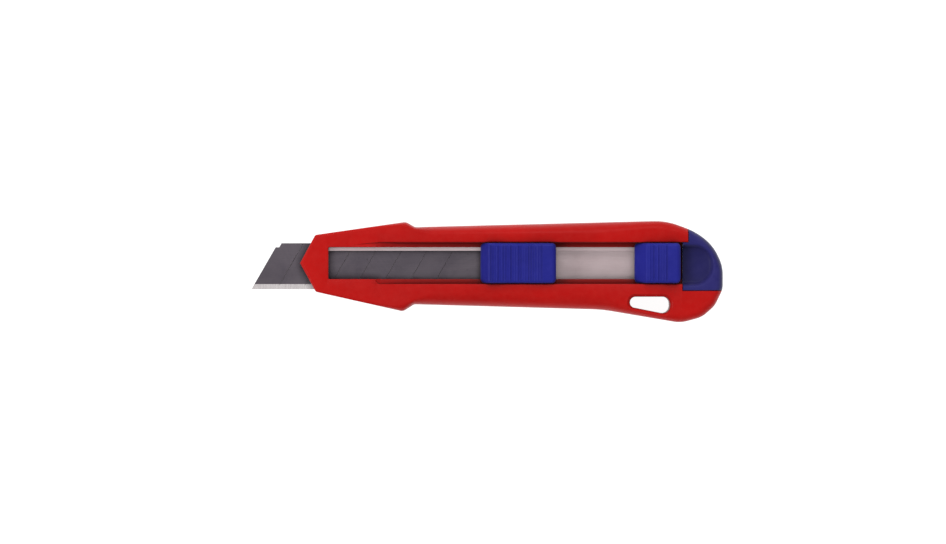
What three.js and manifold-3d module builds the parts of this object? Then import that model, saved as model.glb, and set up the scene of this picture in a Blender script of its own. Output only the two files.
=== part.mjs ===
// Snap-off utility knife with a sliding stabiliser bar, millimetres, +Z up.
// The knife lies on its back: X runs from the nose to the tail, Y to the spine side.
// Local frame while building: nose tip at x = 0, blade slot centred on y = 0, back at z = 0.
import * as THREE from 'three';
import { mergeVertices, toCreasedNormals } from 'three/addons/utils/BufferGeometryUtils.js';
import Module from 'manifold-3d';

const wasm = await Module();
wasm.setup();

// ---- driving dimensions ----
const bodyLength = 165;        // nose tip to tail end
const bodyThickness = 17;      // back to the highest part of the grip
const bladeWidth = 18;         // cutting edge to spine; every width of the body follows it
const bladeThickness = 0.5;
const bladeLength = 100;       // tip to tail end
const segmentPitch = 10;       // distance between score lines
const bladeOut = 19.1;         // how far the tip stands out of the nose at rest
const barThickness = 1.0;      // floor of the stabiliser bar
const barEdge = 0.8;           // its spine wall and lip
const slotHalf = 6.2;          // half width of the window over the blade
const trackHalf = 8.1;         // half width of the recess the buttons slide in
const buttonStand = 2.0;       // how far the buttons stand above the grip
const ribPitch = 1.0;          // thumb ribs on the buttons
const notchPitch = 4;          // detent notches, also the step of both slides
const toothWidth = 1.6;        // lock tooth along the knife
const pressTravel = 0.8;       // how far a button sinks when pressed
const backWall = 4.0;          // back face to channel floor
const ledgeThickness = 1.2;    // ledges the buttons run over
const bladeTravel = 40;        // forward travel of the blade from rest

// ---- clearances ----
const slideGap = 0.3;          // between pieces that slide on each other
const fixedGap = 0.15;         // between pieces fixed to each other
const seamGap = 0.3;           // between the two shells, and round the end cap

// ---- fasteners ----
const screwHeadR = 2.2;
const screwShankR = 1.2;
const rivetR = 0.9;

// ---- stations along and across the body ----
// Positions are written for the nominal body. Along it they stretch with the length. Across it they
// move out with the blade width, and the walls beside the channel keep their thickness.
const nominalLength = 165;
const nominalWidth = 18;
const nominalThickness = 17;
const X = (x) => x * bodyLength / nominalLength;
const wider = (bladeWidth - nominalWidth) / 2;
const Y = (y) => y + wider * THREE.MathUtils.clamp(2 * y / nominalWidth, -1, 1);

// ---- levels, from the back face up ----
const zChannel = backWall;
const zBar = zChannel + slideGap;
const zBarTop = zBar + barThickness;
const zBlade = zBarTop + slideGap;
const zBladeTop = zBlade + bladeThickness;
const zLip = zBladeTop + slideGap;
const zLipTop = zLip + barEdge;
const zNoseRoof = zLipTop + 0.4;
const zCarrier = zBladeTop + slideGap;
const zFlange = zCarrier + 1.9;
const zLeaf = zFlange + 0.2;
const leafThickness = 0.4;
const zLeafTop = zLeaf + leafThickness;
const zRail = zLeafTop + slideGap;
const railThickness = 0.8;
const zRailTop = zRail + railThickness;
const zCarrierTop = zRailTop - slideGap;
const zLedge = zRailTop + slideGap;
const zTrack = zLedge + ledgeThickness;
const zButton = zTrack + pressTravel + slideGap;
const zSeam = (zChannel + zNoseRoof) / 2;

// ---- channel across the knife ----
const edgeY = Y(-10.2);
const spineY = edgeY + bladeWidth;
const wallLow = edgeY - slideGap;
const barWallIn = spineY + slideGap;
const barWallOut = barWallIn + barEdge;
const wallHigh = barWallOut + slideGap;
const barLow = Y(-6.9);
const lipY = Y(4.8);

// ---- joint of the end cap ----
const capX = X(149.0);
const capStepX = X(151.3);
const capStepY = trackHalf;    // in line with the spine side of the button track
const capLowY = Y(-10.7);

// ================= helpers =================

function solidOf(geometry) {
  geometry.deleteAttribute('normal');
  geometry.deleteAttribute('uv');
  const g = mergeVertices(geometry, 1e-5);
  return new wasm.Manifold(new wasm.Mesh({
    numProp: 3,
    vertProperties: new Float32Array(g.attributes.position.array),
    triVerts: new Uint32Array(g.index.array),
  }));
}

function box(x0, x1, y0, y1, z0, z1) {
  const g = new THREE.BoxGeometry(x1 - x0, y1 - y0, z1 - z0);
  g.translate((x0 + x1) / 2, (y0 + y1) / 2, (z0 + z1) / 2);
  return solidOf(g);
}

// Solid of revolution about a vertical axis at (x, y) from [radius, z] steps.
function turned(x, y, profile, sides = 20) {
  const pts = [[0, profile[0][1]], ...profile, [0, profile[profile.length - 1][1]]];
  const g = new THREE.LatheGeometry(pts.map((p) => new THREE.Vector2(p[0], p[1])), sides);
  g.rotateX(Math.PI / 2);
  g.translate(x, y, 0);
  return solidOf(g);
}

function pin(x, y, z0, z1, r, sides = 20) {
  return turned(x, y, [[r, z0], [r, z1]], sides);
}

// Corner points [x, y, radius] turned into a closed loop with arcs, grown outwards by `grow`.
function roundedLoop(corners, grow = 0, steps = 4) {
  const n = corners.length;
  let area = 0;
  for (let i = 0; i < n; i += 1) {
    const a = corners[i];
    const b = corners[(i + 1) % n];
    area += a[0] * b[1] - b[0] * a[1];
  }
  const sign = Math.sign(area);
  const lines = corners.map((a, i) => {
    const b = corners[(i + 1) % n];
    const len = Math.hypot(b[0] - a[0], b[1] - a[1]);
    const dx = (b[0] - a[0]) / len;
    const dy = (b[1] - a[1]) / len;
    return { x: a[0] + sign * dy * grow, y: a[1] - sign * dx * grow, dx, dy };
  });
  const out = [];
  for (let i = 0; i < n; i += 1) {
    const p = lines[(i + n - 1) % n];
    const q = lines[i];
    const cross = p.dx * q.dy - p.dy * q.dx;
    const t = ((q.x - p.x) * q.dy - (q.y - p.y) * q.dx) / cross;
    const vx = p.x + p.dx * t;
    const vy = p.y + p.dy * t;
    const turn = Math.atan2(cross, p.dx * q.dx + p.dy * q.dy);
    const convex = Math.sign(turn) === sign;
    const r = Math.max(corners[i][2] + (convex ? grow : -grow), 0.01);
    const cut = r * Math.tan(Math.abs(turn) / 2);
    const cx = vx - p.dx * cut - Math.sign(turn) * p.dy * r;
    const cy = vy - p.dy * cut + Math.sign(turn) * p.dx * r;
    const start = Math.atan2(vy - p.dy * cut - cy, vx - p.dx * cut - cx);
    for (let k = 0; k <= steps; k += 1) {
      const a = start + turn * k / steps;
      out.push([cx + r * Math.cos(a), cy + r * Math.sin(a)]);
    }
  }
  return sign > 0 ? out : out.reverse();
}

// Open path with arcs at its inner corners.
function roundedPath(corners, steps = 8) {
  const out = [[corners[0][0], corners[0][1]]];
  for (let i = 1; i < corners.length - 1; i += 1) {
    const a = corners[i - 1];
    const v = corners[i];
    const b = corners[i + 1];
    const l1 = Math.hypot(v[0] - a[0], v[1] - a[1]);
    const l2 = Math.hypot(b[0] - v[0], b[1] - v[1]);
    const d1 = [(v[0] - a[0]) / l1, (v[1] - a[1]) / l1];
    const d2 = [(b[0] - v[0]) / l2, (b[1] - v[1]) / l2];
    const turn = Math.atan2(d1[0] * d2[1] - d1[1] * d2[0], d1[0] * d2[0] + d1[1] * d2[1]);
    const s = Math.sign(turn);
    const cut = v[2] * Math.tan(Math.abs(turn) / 2);
    const cx = v[0] - d1[0] * cut - s * d1[1] * v[2];
    const cy = v[1] - d1[1] * cut + s * d1[0] * v[2];
    const start = Math.atan2(v[1] - d1[1] * cut - cy, v[0] - d1[0] * cut - cx);
    for (let k = 0; k <= steps; k += 1) {
      const angle = start + turn * k / steps;
      out.push([cx + v[2] * Math.cos(angle), cy + v[2] * Math.sin(angle)]);
    }
  }
  const last = corners[corners.length - 1];
  out.push([last[0], last[1]]);
  return out;
}

function shapeOf(points) {
  return new THREE.Shape(points.map((p) => new THREE.Vector2(p[0], p[1])));
}

// Straight extrusion of a plan outline between two heights.
function slab(points, z0, z1) {
  const g = new THREE.ExtrudeGeometry(shapeOf(points), { depth: z1 - z0, bevelEnabled: false });
  g.translate(0, 0, z0);
  return solidOf(g);
}

// Straight extrusion across the knife of a side outline given as [x, z].
function slabAcross(points, y0, y1) {
  const g = new THREE.ExtrudeGeometry(shapeOf(points), { depth: y1 - y0, bevelEnabled: false });
  g.rotateX(Math.PI / 2);
  g.translate(0, y1, 0);
  return solidOf(g);
}

// Straight extrusion along the knife of a cross-section given as [y, z].
function slabAlong(points, x0, x1) {
  const g = new THREE.ExtrudeGeometry(shapeOf(points), { depth: x1 - x0, bevelEnabled: false });
  g.applyMatrix4(new THREE.Matrix4().makeBasis(
    new THREE.Vector3(0, 1, 0), new THREE.Vector3(0, 0, 1), new THREE.Vector3(1, 0, 0)));
  g.translate(x0, 0, 0);
  return solidOf(g);
}

// Solid through a stack of plan loops with equal point counts, each at its own height.
function stacked(layers) {
  const n = layers[0].loop.length;
  const pos = [];
  layers.forEach(({ loop, z }) => loop.forEach((p) => pos.push(p[0], p[1], z)));
  const index = [];
  for (let k = 0; k + 1 < layers.length; k += 1) {
    for (let i = 0; i < n; i += 1) {
      const j = (i + 1) % n;
      const a = k * n + i;
      const b = k * n + j;
      index.push(a, b, b + n, a, b + n, a + n);
    }
  }
  const faces = THREE.ShapeUtils.triangulateShape(
    layers[0].loop.map((p) => new THREE.Vector2(p[0], p[1])), []);
  const top = (layers.length - 1) * n;
  faces.forEach(([a, b, c]) => {
    index.push(a, c, b);
    index.push(top + a, top + b, top + c);
  });
  const g = new THREE.BufferGeometry();
  g.setAttribute('position', new THREE.Float32BufferAttribute(pos, 3));
  g.setIndex(index);
  return solidOf(g);
}

// Smooth curve through [x, value] knots.
function through(knots, x) {
  const last = knots.length - 1;
  if (x <= knots[0][0]) return knots[0][1];
  if (x >= knots[last][0]) return knots[last][1];
  let i = 0;
  while (x > knots[i + 1][0]) i += 1;
  const slope = (k) => {
    const a = knots[Math.max(k - 1, 0)];
    const b = knots[Math.min(k + 1, last)];
    return k === 0 || k === last ? 0 : (b[1] - a[1]) / (b[0] - a[0]);
  };
  const [x0, v0] = knots[i];
  const [x1, v1] = knots[i + 1];
  const w = x1 - x0;
  const t = (x - x0) / w;
  const t2 = t * t;
  const t3 = t2 * t;
  return (2 * t3 - 3 * t2 + 1) * v0 + (t3 - 2 * t2 + t) * w * slope(i)
    + (-2 * t3 + 3 * t2) * v1 + (t3 - t2) * w * slope(i + 1);
}

// ================= outer form of the body =================

// Outline and edge of the flat front land, spine side then cutting side: [x, y, corner radius].
const endX = 164.85;
const endY = -5.5;
const landEndX = 161.9;
const outlineHigh = [[0, 0], [5.94, 11.0, 1.2], [41.3, 16.1, 2.5], [44.9, 14.04, 2], [142.7, 16.5, 26],
  [154.65, 12.1, 26], [161.2, 6.54, 18], [endX, -1.1, 15], [endX, endY]];
const outlineLow = [[0, 0], [6.16, -11.2, 1.2], [40.2, -18.85, 2.5], [44.5, -16.06, 2], [117.8, -18.1, 60],
  [148.3, -23.26, 12], [156.7, -21.03, 10], [161.7, -16.6, 9], [endX, -10.1, 8], [endX, endY]];
const landHigh = [[1.2, 0], [6.8, 10.1, 0.8], [39.5, 14.6, 5], [51, 11.2, 12], [117, 11.4, 50],
  [137, 13.4, 20], [150, 11.2, 16], [158, 4.6, 14], [landEndX, -2, 5], [landEndX, endY]];
const landLow = [[1.2, 0], [6.9, -10.2, 0.8], [37.5, -16.7, 5], [51, -11.5, 12], [112, -11.8, 40],
  [128, -16.2, 16], [147.8, -20.3, 8], [154.5, -18.6, 7], [159.4, -14.3, 7], [landEndX, -10, 5],
  [landEndX, endY]];

// Front face height, depth of the rounded front edge and rise of the back, by station.
const frontKnots = [[0, 10.8], [26, 11.5], [46, 14.0], [72, 16.2], [108, 17], [140, 16.6], [165, 14.6]];
const edgeKnots = [[0, 1.1], [30, 1.3], [50, 6], [115, 6], [135, 4.2], [165, 4.2]];
const backKnots = [[0, 1.8], [20, 1.1], [45, 0]];
const frontZ = (x) => through(frontKnots, x) * bodyThickness / nominalThickness;
const edgeDepth = (x) => through(edgeKnots, x) * bodyThickness / nominalThickness;
const backZ = (x) => through(backKnots, x);
const backInset = 2.0;
const backDepth = 1.8;

function pathY(path, x) {
  let i = 0;
  while (i < path.length - 2 && path[i + 1][0] < x) i += 1;
  const [x0, y0] = path[i];
  const [x1, y1] = path[i + 1];
  return x1 - x0 < 1e-9 ? y0 : y0 + (y1 - y0) * Math.min((x - x0) / (x1 - x0), 1);
}

// Stations: [from, to, steps]; closer together where the outline turns quickly.
function stations() {
  const spans = [[0, 1, 2], [1, 5, 1], [5, 7.4, 5], [7.4, 37, 6], [37, 47, 11], [47, 52, 2],
    [52, 108, 8], [108, 140, 8], [140, 152, 7], [152, 160, 7]];
  const xs = [0];
  spans.forEach(([a, b, n]) => {
    for (let k = 1; k <= n; k += 1) xs.push(a + (b - a) * k / n);
  });
  const tail = endX - 160;
  for (let k = 1; k <= 9; k += 1) xs.push(160 + tail * Math.sin(Math.PI / 2 * k / 9));
  return xs;
}

function bodyForm() {
  const xs = stations();
  const paths = [[outlineHigh, landHigh], [outlineLow, landLow]].map(
    (pair) => pair.map((corners) => roundedPath(corners)));
  const arcs = [0, 22.5, 45, 67.5, 90].map((deg) => deg * Math.PI / 180);
  const section = (side, i) => {
    const [outer, land] = paths[side];
    const x = xs[i];
    const o = [x, pathY(outer, x)];
    const lx = landHigh[0][0] + x * (landEndX - landHigh[0][0]) / endX;
    const l = [lx, pathY(land, lx)];
    if (i === xs.length - 1) {
      o[1] = endY;
      l[1] = endY;
    }
    const reach = Math.hypot(l[0] - o[0], l[1] - o[1]);
    const d = [(l[0] - o[0]) / reach, (l[1] - o[1]) / reach];
    const top = frontZ(lx);
    const depth = edgeDepth(lx);
    const at = (inset, z) => [X(o[0] + d[0] * inset), Y(o[1] + d[1] * inset), z];
    const floorPoint = [o[0] + d[0] * backInset, o[1] + d[1] * backInset];
    const zb = backZ(floorPoint[0]);
    const ring = [
      at(backInset, zb),
      at(backInset * 0.293, zb + backDepth * 0.293),
      at(0, zb + backDepth),
    ];
    arcs.forEach((a) => {
      const c = Math.cos(a);
      ring.push([X(l[0] + (o[0] - l[0]) * c), Y(l[1] + (o[1] - l[1]) * c),
        top - depth + depth * Math.sin(a)]);
    });
    return ring;
  };
  const loop = [];
  for (let i = 0; i < xs.length; i += 1) loop.push(section(0, i));
  for (let i = xs.length - 2; i >= 1; i -= 1) loop.push(section(1, i));
  const rings = loop[0].length;
  const n = loop.length;
  const pos = [];
  loop.forEach((ring) => ring.forEach((p) => pos.push(...p)));
  const index = [];
  const quad = (a, b, c, d) => index.push(a, b, c, a, c, d);
  for (let i = 0; i < n; i += 1) {
    const j = (i + 1) % n;
    for (let k = 0; k + 1 < rings; k += 1) {
      quad(j * rings + k, i * rings + k, i * rings + k + 1, j * rings + k + 1);
    }
  }
  const last = xs.length - 1;
  const high = (i) => i;
  const low = (i) => (i === 0 ? 0 : i === last ? last : n - i);
  for (let i = 0; i < last; i += 1) {
    const cap = (k, up) => {
      const a = high(i) * rings + k;
      const b = high(i + 1) * rings + k;
      const c = low(i + 1) * rings + k;
      const d = low(i) * rings + k;
      const tri = (p, q, r) => {
        if (p !== q && q !== r && p !== r) index.push(...(up ? [p, q, r] : [p, r, q]));
      };
      tri(d, c, b);
      tri(d, b, a);
    };
    cap(rings - 1, true);
    cap(0, false);
  }
  const g = new THREE.BufferGeometry();
  g.setAttribute('position', new THREE.Float32BufferAttribute(pos, 3));
  g.setIndex(index);
  return solidOf(g);
}

// ================= shells, cap and their fasteners =================

const bodyTop = 2 * bodyThickness;
const bodyScrews = [[36, 12.3], [35.5, -14.2], [88, 12.3], [92, -13.9], [131, 12.9], [153.5, -16.2]];
const railEars = [50, 80, 118];
const eyelet = [[128.5, -13.1, 2.2], [144.1, -13.1, 2.7], [144.1, -20.1, 2.8], [128.5, -17.0, 2.0]]
  .map(([x, y, r]) => [X(x), Y(y), r]);
const counterboreZ = 2.2;
const holeTopZ = zLedge;

// Plan of the end cap, grown or shrunk by half the seam.
function capPlan(grow) {
  const far = X(200);
  const high = Y(60);
  return [[capX - grow, capLowY - grow], [far, capLowY - grow], [far, high], [capStepX - grow, high],
    [capStepX - grow, capStepY + grow], [capX - grow, capStepY + grow]];
}

function eyeletCut() {
  const loop = (grow) => roundedLoop(eyelet, grow, 4);
  const top = frontZ(136);
  return stacked([
    { loop: loop(1.2), z: -1 },
    { loop: loop(0.8), z: -0.05 },
    { loop: loop(0), z: 0.8 },
    { loop: loop(0), z: top - 1.5 },
    { loop: loop(0.9), z: top - 0.4 },
    { loop: loop(2.2), z: top + 1.0 },
  ]);
}

// Room for the blade, the bar and both carriers.
function channelCut() {
  const nose = box(-5, trackFront + 3.2, wallLow, wallHigh, zChannel, zNoseRoof);
  const main = box(trackFront + 1.2, X(180), wallLow, wallHigh, zChannel, zLedge);
  const window = slab(roundedLoop([[X(11.1), -slotHalf, 0.4], [X(180), -slotHalf, 0.4],
    [X(180), slotHalf, 0.4], [X(11.1), slotHalf, 0.4]], 0, 2), zChannel, bodyTop);
  const track = slab(roundedLoop([[trackFront, -trackHalf, 1.6], [X(180), -trackHalf, 1.6],
    [X(180), trackHalf, 1.6], [trackFront, trackHalf, 1.6]], 0, 4), zTrack, bodyTop);
  return nose.add(main).add(window).add(track);
}

// Pockets beside the channel for the tongues and the clip of the end cap.
const tongueFrontX = capX - 4.6;
const highTongueY = [wallHigh + slideGap, wallHigh + slideGap + 1.9];
const clipY = wallLow + 0.7;
const clipBumpX = capX - 2.6;
const clipEndX = capX + 8.2;
function tonguePockets() {
  const high = box(tongueFrontX - slideGap, X(180), wallHigh - 1, highTongueY[1] + slideGap,
    zChannel, zLedge);
  const notch = box(clipBumpX - 1.8, clipBumpX + 1.8, wallLow - 0.95, wallLow + 1, zChannel, zLedge);
  return high.add(notch);
}

// Rail screw ears sit in pockets cut from below.
const earY = wallLow - screwHeadR + 0.5;
const earR = screwHeadR;
function earPocket(x) {
  return box(X(x) - earR - slideGap, X(x) + earR + slideGap, earY - earR - slideGap, wallLow + 1,
    zSeam - 1, zLedge);
}

function buildShells() {
  const form = bodyForm();
  const capCut = slab(capPlan(seamGap / 2), -5, bodyTop);
  const capKeep = slab(capPlan(-seamGap / 2), -5, bodyTop);
  let shells = form.subtract(capCut).subtract(channelCut()).subtract(eyeletCut())
    .subtract(tonguePockets());
  bodyScrews.forEach(([sx, sy]) => {
    const [x, y] = [X(sx), Y(sy)];
    shells = shells.subtract(turned(x, y, [[screwHeadR + 0.25, -2], [screwHeadR + 0.25, counterboreZ],
      [screwShankR + fixedGap, counterboreZ], [screwShankR + fixedGap, holeTopZ]]));
  });
  const below = box(-50, X(250), -100, 100, -10, zSeam - seamGap / 2);
  const above = box(-50, X(250), -100, 100, zSeam + seamGap / 2, bodyTop + 10);
  let front = shells.intersect(above);
  railEars.forEach((x) => {
    front = front.subtract(earPocket(x));
    front = front.subtract(pin(X(x), earY, zSeam, zLedge + 3.2, screwShankR + fixedGap));
  });
  return { front, back: shells.intersect(below), cap: buildCap(form, capKeep) };
}

// Thumb recess in the cap: flat toward the button track, round toward the tail.
function capRecess() {
  const r = Y(7.2);
  const loop = roundedLoop([[X(146), Y(-8.4), 0.5], [X(160.7), Y(-8.4), r], [X(160.7), Y(6.8), r * 0.98],
    [X(146), Y(6.8), 0.5]], 0, 8);
  const floor = frontZ(155) - 2.0;
  const wide = roundedLoop([[X(146), Y(-8.4), 0.5], [X(160.7), Y(-8.4), r], [X(160.7), Y(6.8), r * 0.98],
    [X(146), Y(6.8), 0.5]], 0.7, 8);
  return stacked([{ loop, z: floor }, { loop, z: floor + 1.0 }, { loop: wide, z: floor + 2.2 },
    { loop: wide, z: bodyTop }]);
}

function buildCap(form, region) {
  const hollow = box(capX - 9, clipEndX + 0.3, Y(-7.2), Y(5.2), zChannel + 1.5, zLedge);
  const slot = box(capX - 9, clipEndX, clipY - slideGap, clipY + leafThickness + slideGap,
    zChannel + 0.8, zLedge - 0.6);
  let cap = form.intersect(region).subtract(capRecess()).subtract(hollow).subtract(slot);
  const low = box(tongueFrontX, capX + 2, clipY + leafThickness + slideGap, clipY + leafThickness + 1.5,
    zChannel + slideGap, zRail - slideGap);
  const high = box(tongueFrontX, capStepX + 2, highTongueY[0], highTongueY[1], zChannel + slideGap,
    zLedge - slideGap);
  cap = cap.add(low).add(high);
  return cap;
}

function screwBody(x, y, z0, z1, head) {
  const body = turned(x, y, [[screwHeadR * 0.85, z0], [screwHeadR, z0 + 0.3], [screwHeadR, z0 + head],
    [screwShankR, z0 + head], [screwShankR, z1 - 0.5], [screwShankR * 0.6, z1]]);
  const arm = screwHeadR * 0.55;
  const across = box(x - arm, x + arm, y - 0.25, y + 0.25, z0 - 1, z0 + head * 0.6);
  const along = box(x - 0.25, x + 0.25, y - arm, y + arm, z0 - 1, z0 + head * 0.6);
  return body.subtract(across.add(along));
}

function bodyScrew([sx, sy]) {
  const head = 1.5;
  const seat = counterboreZ - fixedGap;
  return screwBody(X(sx), Y(sy), seat - head, holeTopZ - 0.4, head);
}

// ================= blade and stabiliser bar =================

const tan30 = Math.tan(Math.PI / 6);
const tipX = -bladeOut;
const holeX = tipX + bladeLength - 6.6;
const holeY = Y(-1.2);
const holeR = 2.9;
const tailX = tipX + bladeLength;

// The front slider is placed from the blade's hole, the rear one from the notch nearest the cap.
// The track and the rail reach forward as far as the front slider travels.
const bladeToothX = holeX + 11.1;
const bladeButtonX = holeX - 3.9;
const trackFront = bladeButtonX - bladeTravel - 0.6;
const railX = [bladeToothX - bladeTravel - 3.4, X(140)];
const railY = [wallLow + slideGap, -slotHalf - slideGap];
const notchDepth = (railY[1] - railY[0]) * 0.59;
const toothY = [railY[1] - notchDepth + slideGap, railY[1] - slideGap];
const barButtonBack = 14.8;
const barButtonClear = 0.7;
const barNotches = Math.floor((capX - barButtonClear - barButtonBack - bladeToothX) / notchPitch);
const barToothX = bladeToothX + notchPitch * barNotches;

function buildBlade() {
  const at = (y, along = 0) => [tipX + (y - edgeY) * tan30 + along, y];
  const stepY = spineY - 1.6;
  const tailEdge = bladeLength - bladeWidth * tan30;
  let blade = slab([at(edgeY), at(edgeY, tailEdge), [tailX, spineY], at(spineY, 1.4), at(stepY, 1.4),
    at(stepY)], zBlade, zBladeTop);
  blade = blade.subtract(pin(holeX, holeY, zBlade - 1, zBladeTop + 1, holeR, 28));
  const mid = (zBlade + zBladeTop) / 2;
  const land = 2.0;
  const keen = 0.03;
  const grind = (top) => {
    const z = top ? zBladeTop : zBlade;
    const out = top ? 1 : -1;
    return slabAlong([[edgeY - 1, mid + out * keen], [edgeY, mid + out * keen], [edgeY + land, z],
      [edgeY + land, z + out], [edgeY - 1, z + out]], tipX - 5, tailX + 5);
  };
  blade = blade.subtract(grind(true)).subtract(grind(false));
  const depth = bladeThickness * 0.24;
  for (let k = 1; k <= 7; k += 1) {
    const x0 = tipX + k * segmentPitch;
    const half = 0.16;
    const over = 1;
    const run = (y, shift) => [x0 + (y - edgeY) * tan30 + shift, y];
    const low = edgeY - over;
    const top = spineY + over;
    blade = blade.subtract(slab([run(low, -half), run(low, half), run(top, half), run(top, -half)],
      zBladeTop - depth, zBladeTop + 1));
  }
  return blade;
}

const barFrontX = X(5.2);
const barEndX = barToothX + 13.1;
const barRivets = [[barToothX - 0.5, Y(0.8)], [barToothX + 11.0, Y(-1.6)]];
const barTailR = 1.6;

function buildBar() {
  const slant = 2.5;
  const floor = slab([[barFrontX + slant, barLow], [barEndX, barLow], [barEndX, barWallOut],
    [barFrontX + slant, barWallOut], [barFrontX, barWallOut - slant * 1.4], [barFrontX, barLow + slant]],
  zBar, zBarTop);
  const wall = box(barFrontX + slant, barEndX, barWallIn, barWallOut, zBar, zLipTop);
  const lip = slab([[barFrontX + slant * 0.6, lipY + 1], [barFrontX + slant * 1.3, lipY], [barEndX, lipY],
    [barEndX, barWallOut], [barFrontX + slant, barWallOut], [barFrontX + slant * 0.6, barWallOut - 1.2]],
  zLip, zLipTop);
  let bar = floor.add(wall).add(lip);
  barRivets.forEach(([x, y]) => {
    bar = bar.subtract(turned(x, y, [[barTailR + fixedGap, zBar - 1],
      [barTailR + fixedGap, zBar], [rivetR + fixedGap, zBar + 0.6], [rivetR + fixedGap, zBarTop + 1]], 16));
  });
  return bar;
}

// ================= detent rail =================


function buildRail() {
  let rail = box(railX[0], railX[1], railY[0], railY[1], zRail, zRailTop);
  railEars.forEach((x) => {
    const ear = pin(X(x), earY, zRail, zRailTop, earR).add(
      box(X(x) - earR, X(x) + earR, earY, railY[0] + 0.5, zRail, zRailTop));
    rail = rail.add(ear);
    rail = rail.subtract(pin(X(x), earY, zRail - 1, zRailTop + 1, screwShankR + fixedGap));
  });
  const half = toothWidth / 2 + slideGap;
  const first = bladeToothX - notchPitch * Math.floor((bladeToothX - railX[0] - 2) / notchPitch);
  for (let x = first; x < railX[1] - half - 0.8; x += notchPitch) {
    rail = rail.subtract(box(x - half, x + half, toothY[0] - slideGap, railY[1] + 1, zRail - 1,
      zRailTop + 1));
  }
  return rail;
}

function railScrew(x) {
  const head = 1.2;
  return screwBody(X(x), earY, zRail - fixedGap - head, zLedge + 2.6, head);
}

// ================= carriers, lock springs and buttons =================

// One slide: carrier, leaf spring with its rivet, and the button on top.
// `front` and `back` bound the carrier, `tooth` is the lock tooth station.
const leafLow = wallLow + 1.3;
const leafRivetHeadR = 1.35;
const leafRivetY = railY[1] + fixedGap + leafRivetHeadR;
const leafHigh = leafRivetY + leafRivetHeadR;
const leafReach = 11.4;
const padReach = 1.9;
const stemLow = Y(-2.0);
const stemHigh = Y(3.6);
const hook = 0.5;

function buildCarrier(s) {
  const blockLow = Y(-5.7);
  const high = lipY - 0.4;
  let c = box(s.front, s.back, blockLow, high, s.z0, zCarrierTop);
  c = c.add(box(s.front, s.back, lipY - 1, spineY + 0.3, zLipTop + slideGap, zCarrierTop));
  c = c.add(box(s.flangeFront, s.flangeBack, wallLow + 0.9, blockLow + 1, s.z0, zFlange));
  const bay = leafHigh + 0.4;
  c = c.subtract(box(s.tooth - padReach - 0.5, s.leafBack + 0.4, wallLow, bay, zFlange, zCarrierTop + 1));
  c = c.subtract(box(s.tooth - padReach - 0.5, s.leafBack - 5.4, wallLow, bay,
    zLeaf - pressTravel - 0.2, zCarrierTop + 1));
  c = c.subtract(box(s.stem0 - slideGap, s.stem1 + slideGap, stemLow - slideGap, stemHigh + slideGap,
    s.pocketZ, zCarrierTop + 1));
  const undercut = slideGap + hook + 0.2;
  c = c.subtract(box(s.stem0 - undercut, s.stem1 + undercut, stemLow - slideGap, stemHigh + slideGap,
    s.pocketZ, zCarrierTop - 0.6));
  c = c.subtract(pin(s.rivetX, s.rivetY, s.rivetZ - 0.3, zCarrierTop, rivetR + fixedGap, 16));
  return c;
}

function buildLeaf(s) {
  const arm = leafLow + 2.4;
  const t = s.tooth;
  const back = s.leafBack;
  let leaf = slab([[t - padReach, leafLow], [back, leafLow], [back, leafHigh], [back - 4.6, leafHigh],
    [back - 4.6, arm], [t + padReach, arm], [t + padReach, leafHigh], [t - padReach, leafHigh]],
  zLeaf, zLeafTop);
  leaf = leaf.add(box(t - toothWidth / 2, t + toothWidth / 2, toothY[0], toothY[1], zLeaf + 0.1,
    zRailTop - 0.2));
  return leaf.subtract(pin(s.rivetX, s.rivetY, zLeaf - 1, zLeafTop + 1, rivetR + fixedGap, 16));
}

function buildLeafRivet(s) {
  return turned(s.rivetX, s.rivetY, [[rivetR, s.rivetZ], [rivetR, zLeafTop + fixedGap],
    [leafRivetHeadR, zLeafTop + fixedGap], [leafRivetHeadR, zLeafTop + 0.5], [0.8, zLeafTop + 0.85]], 16);
}

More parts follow.
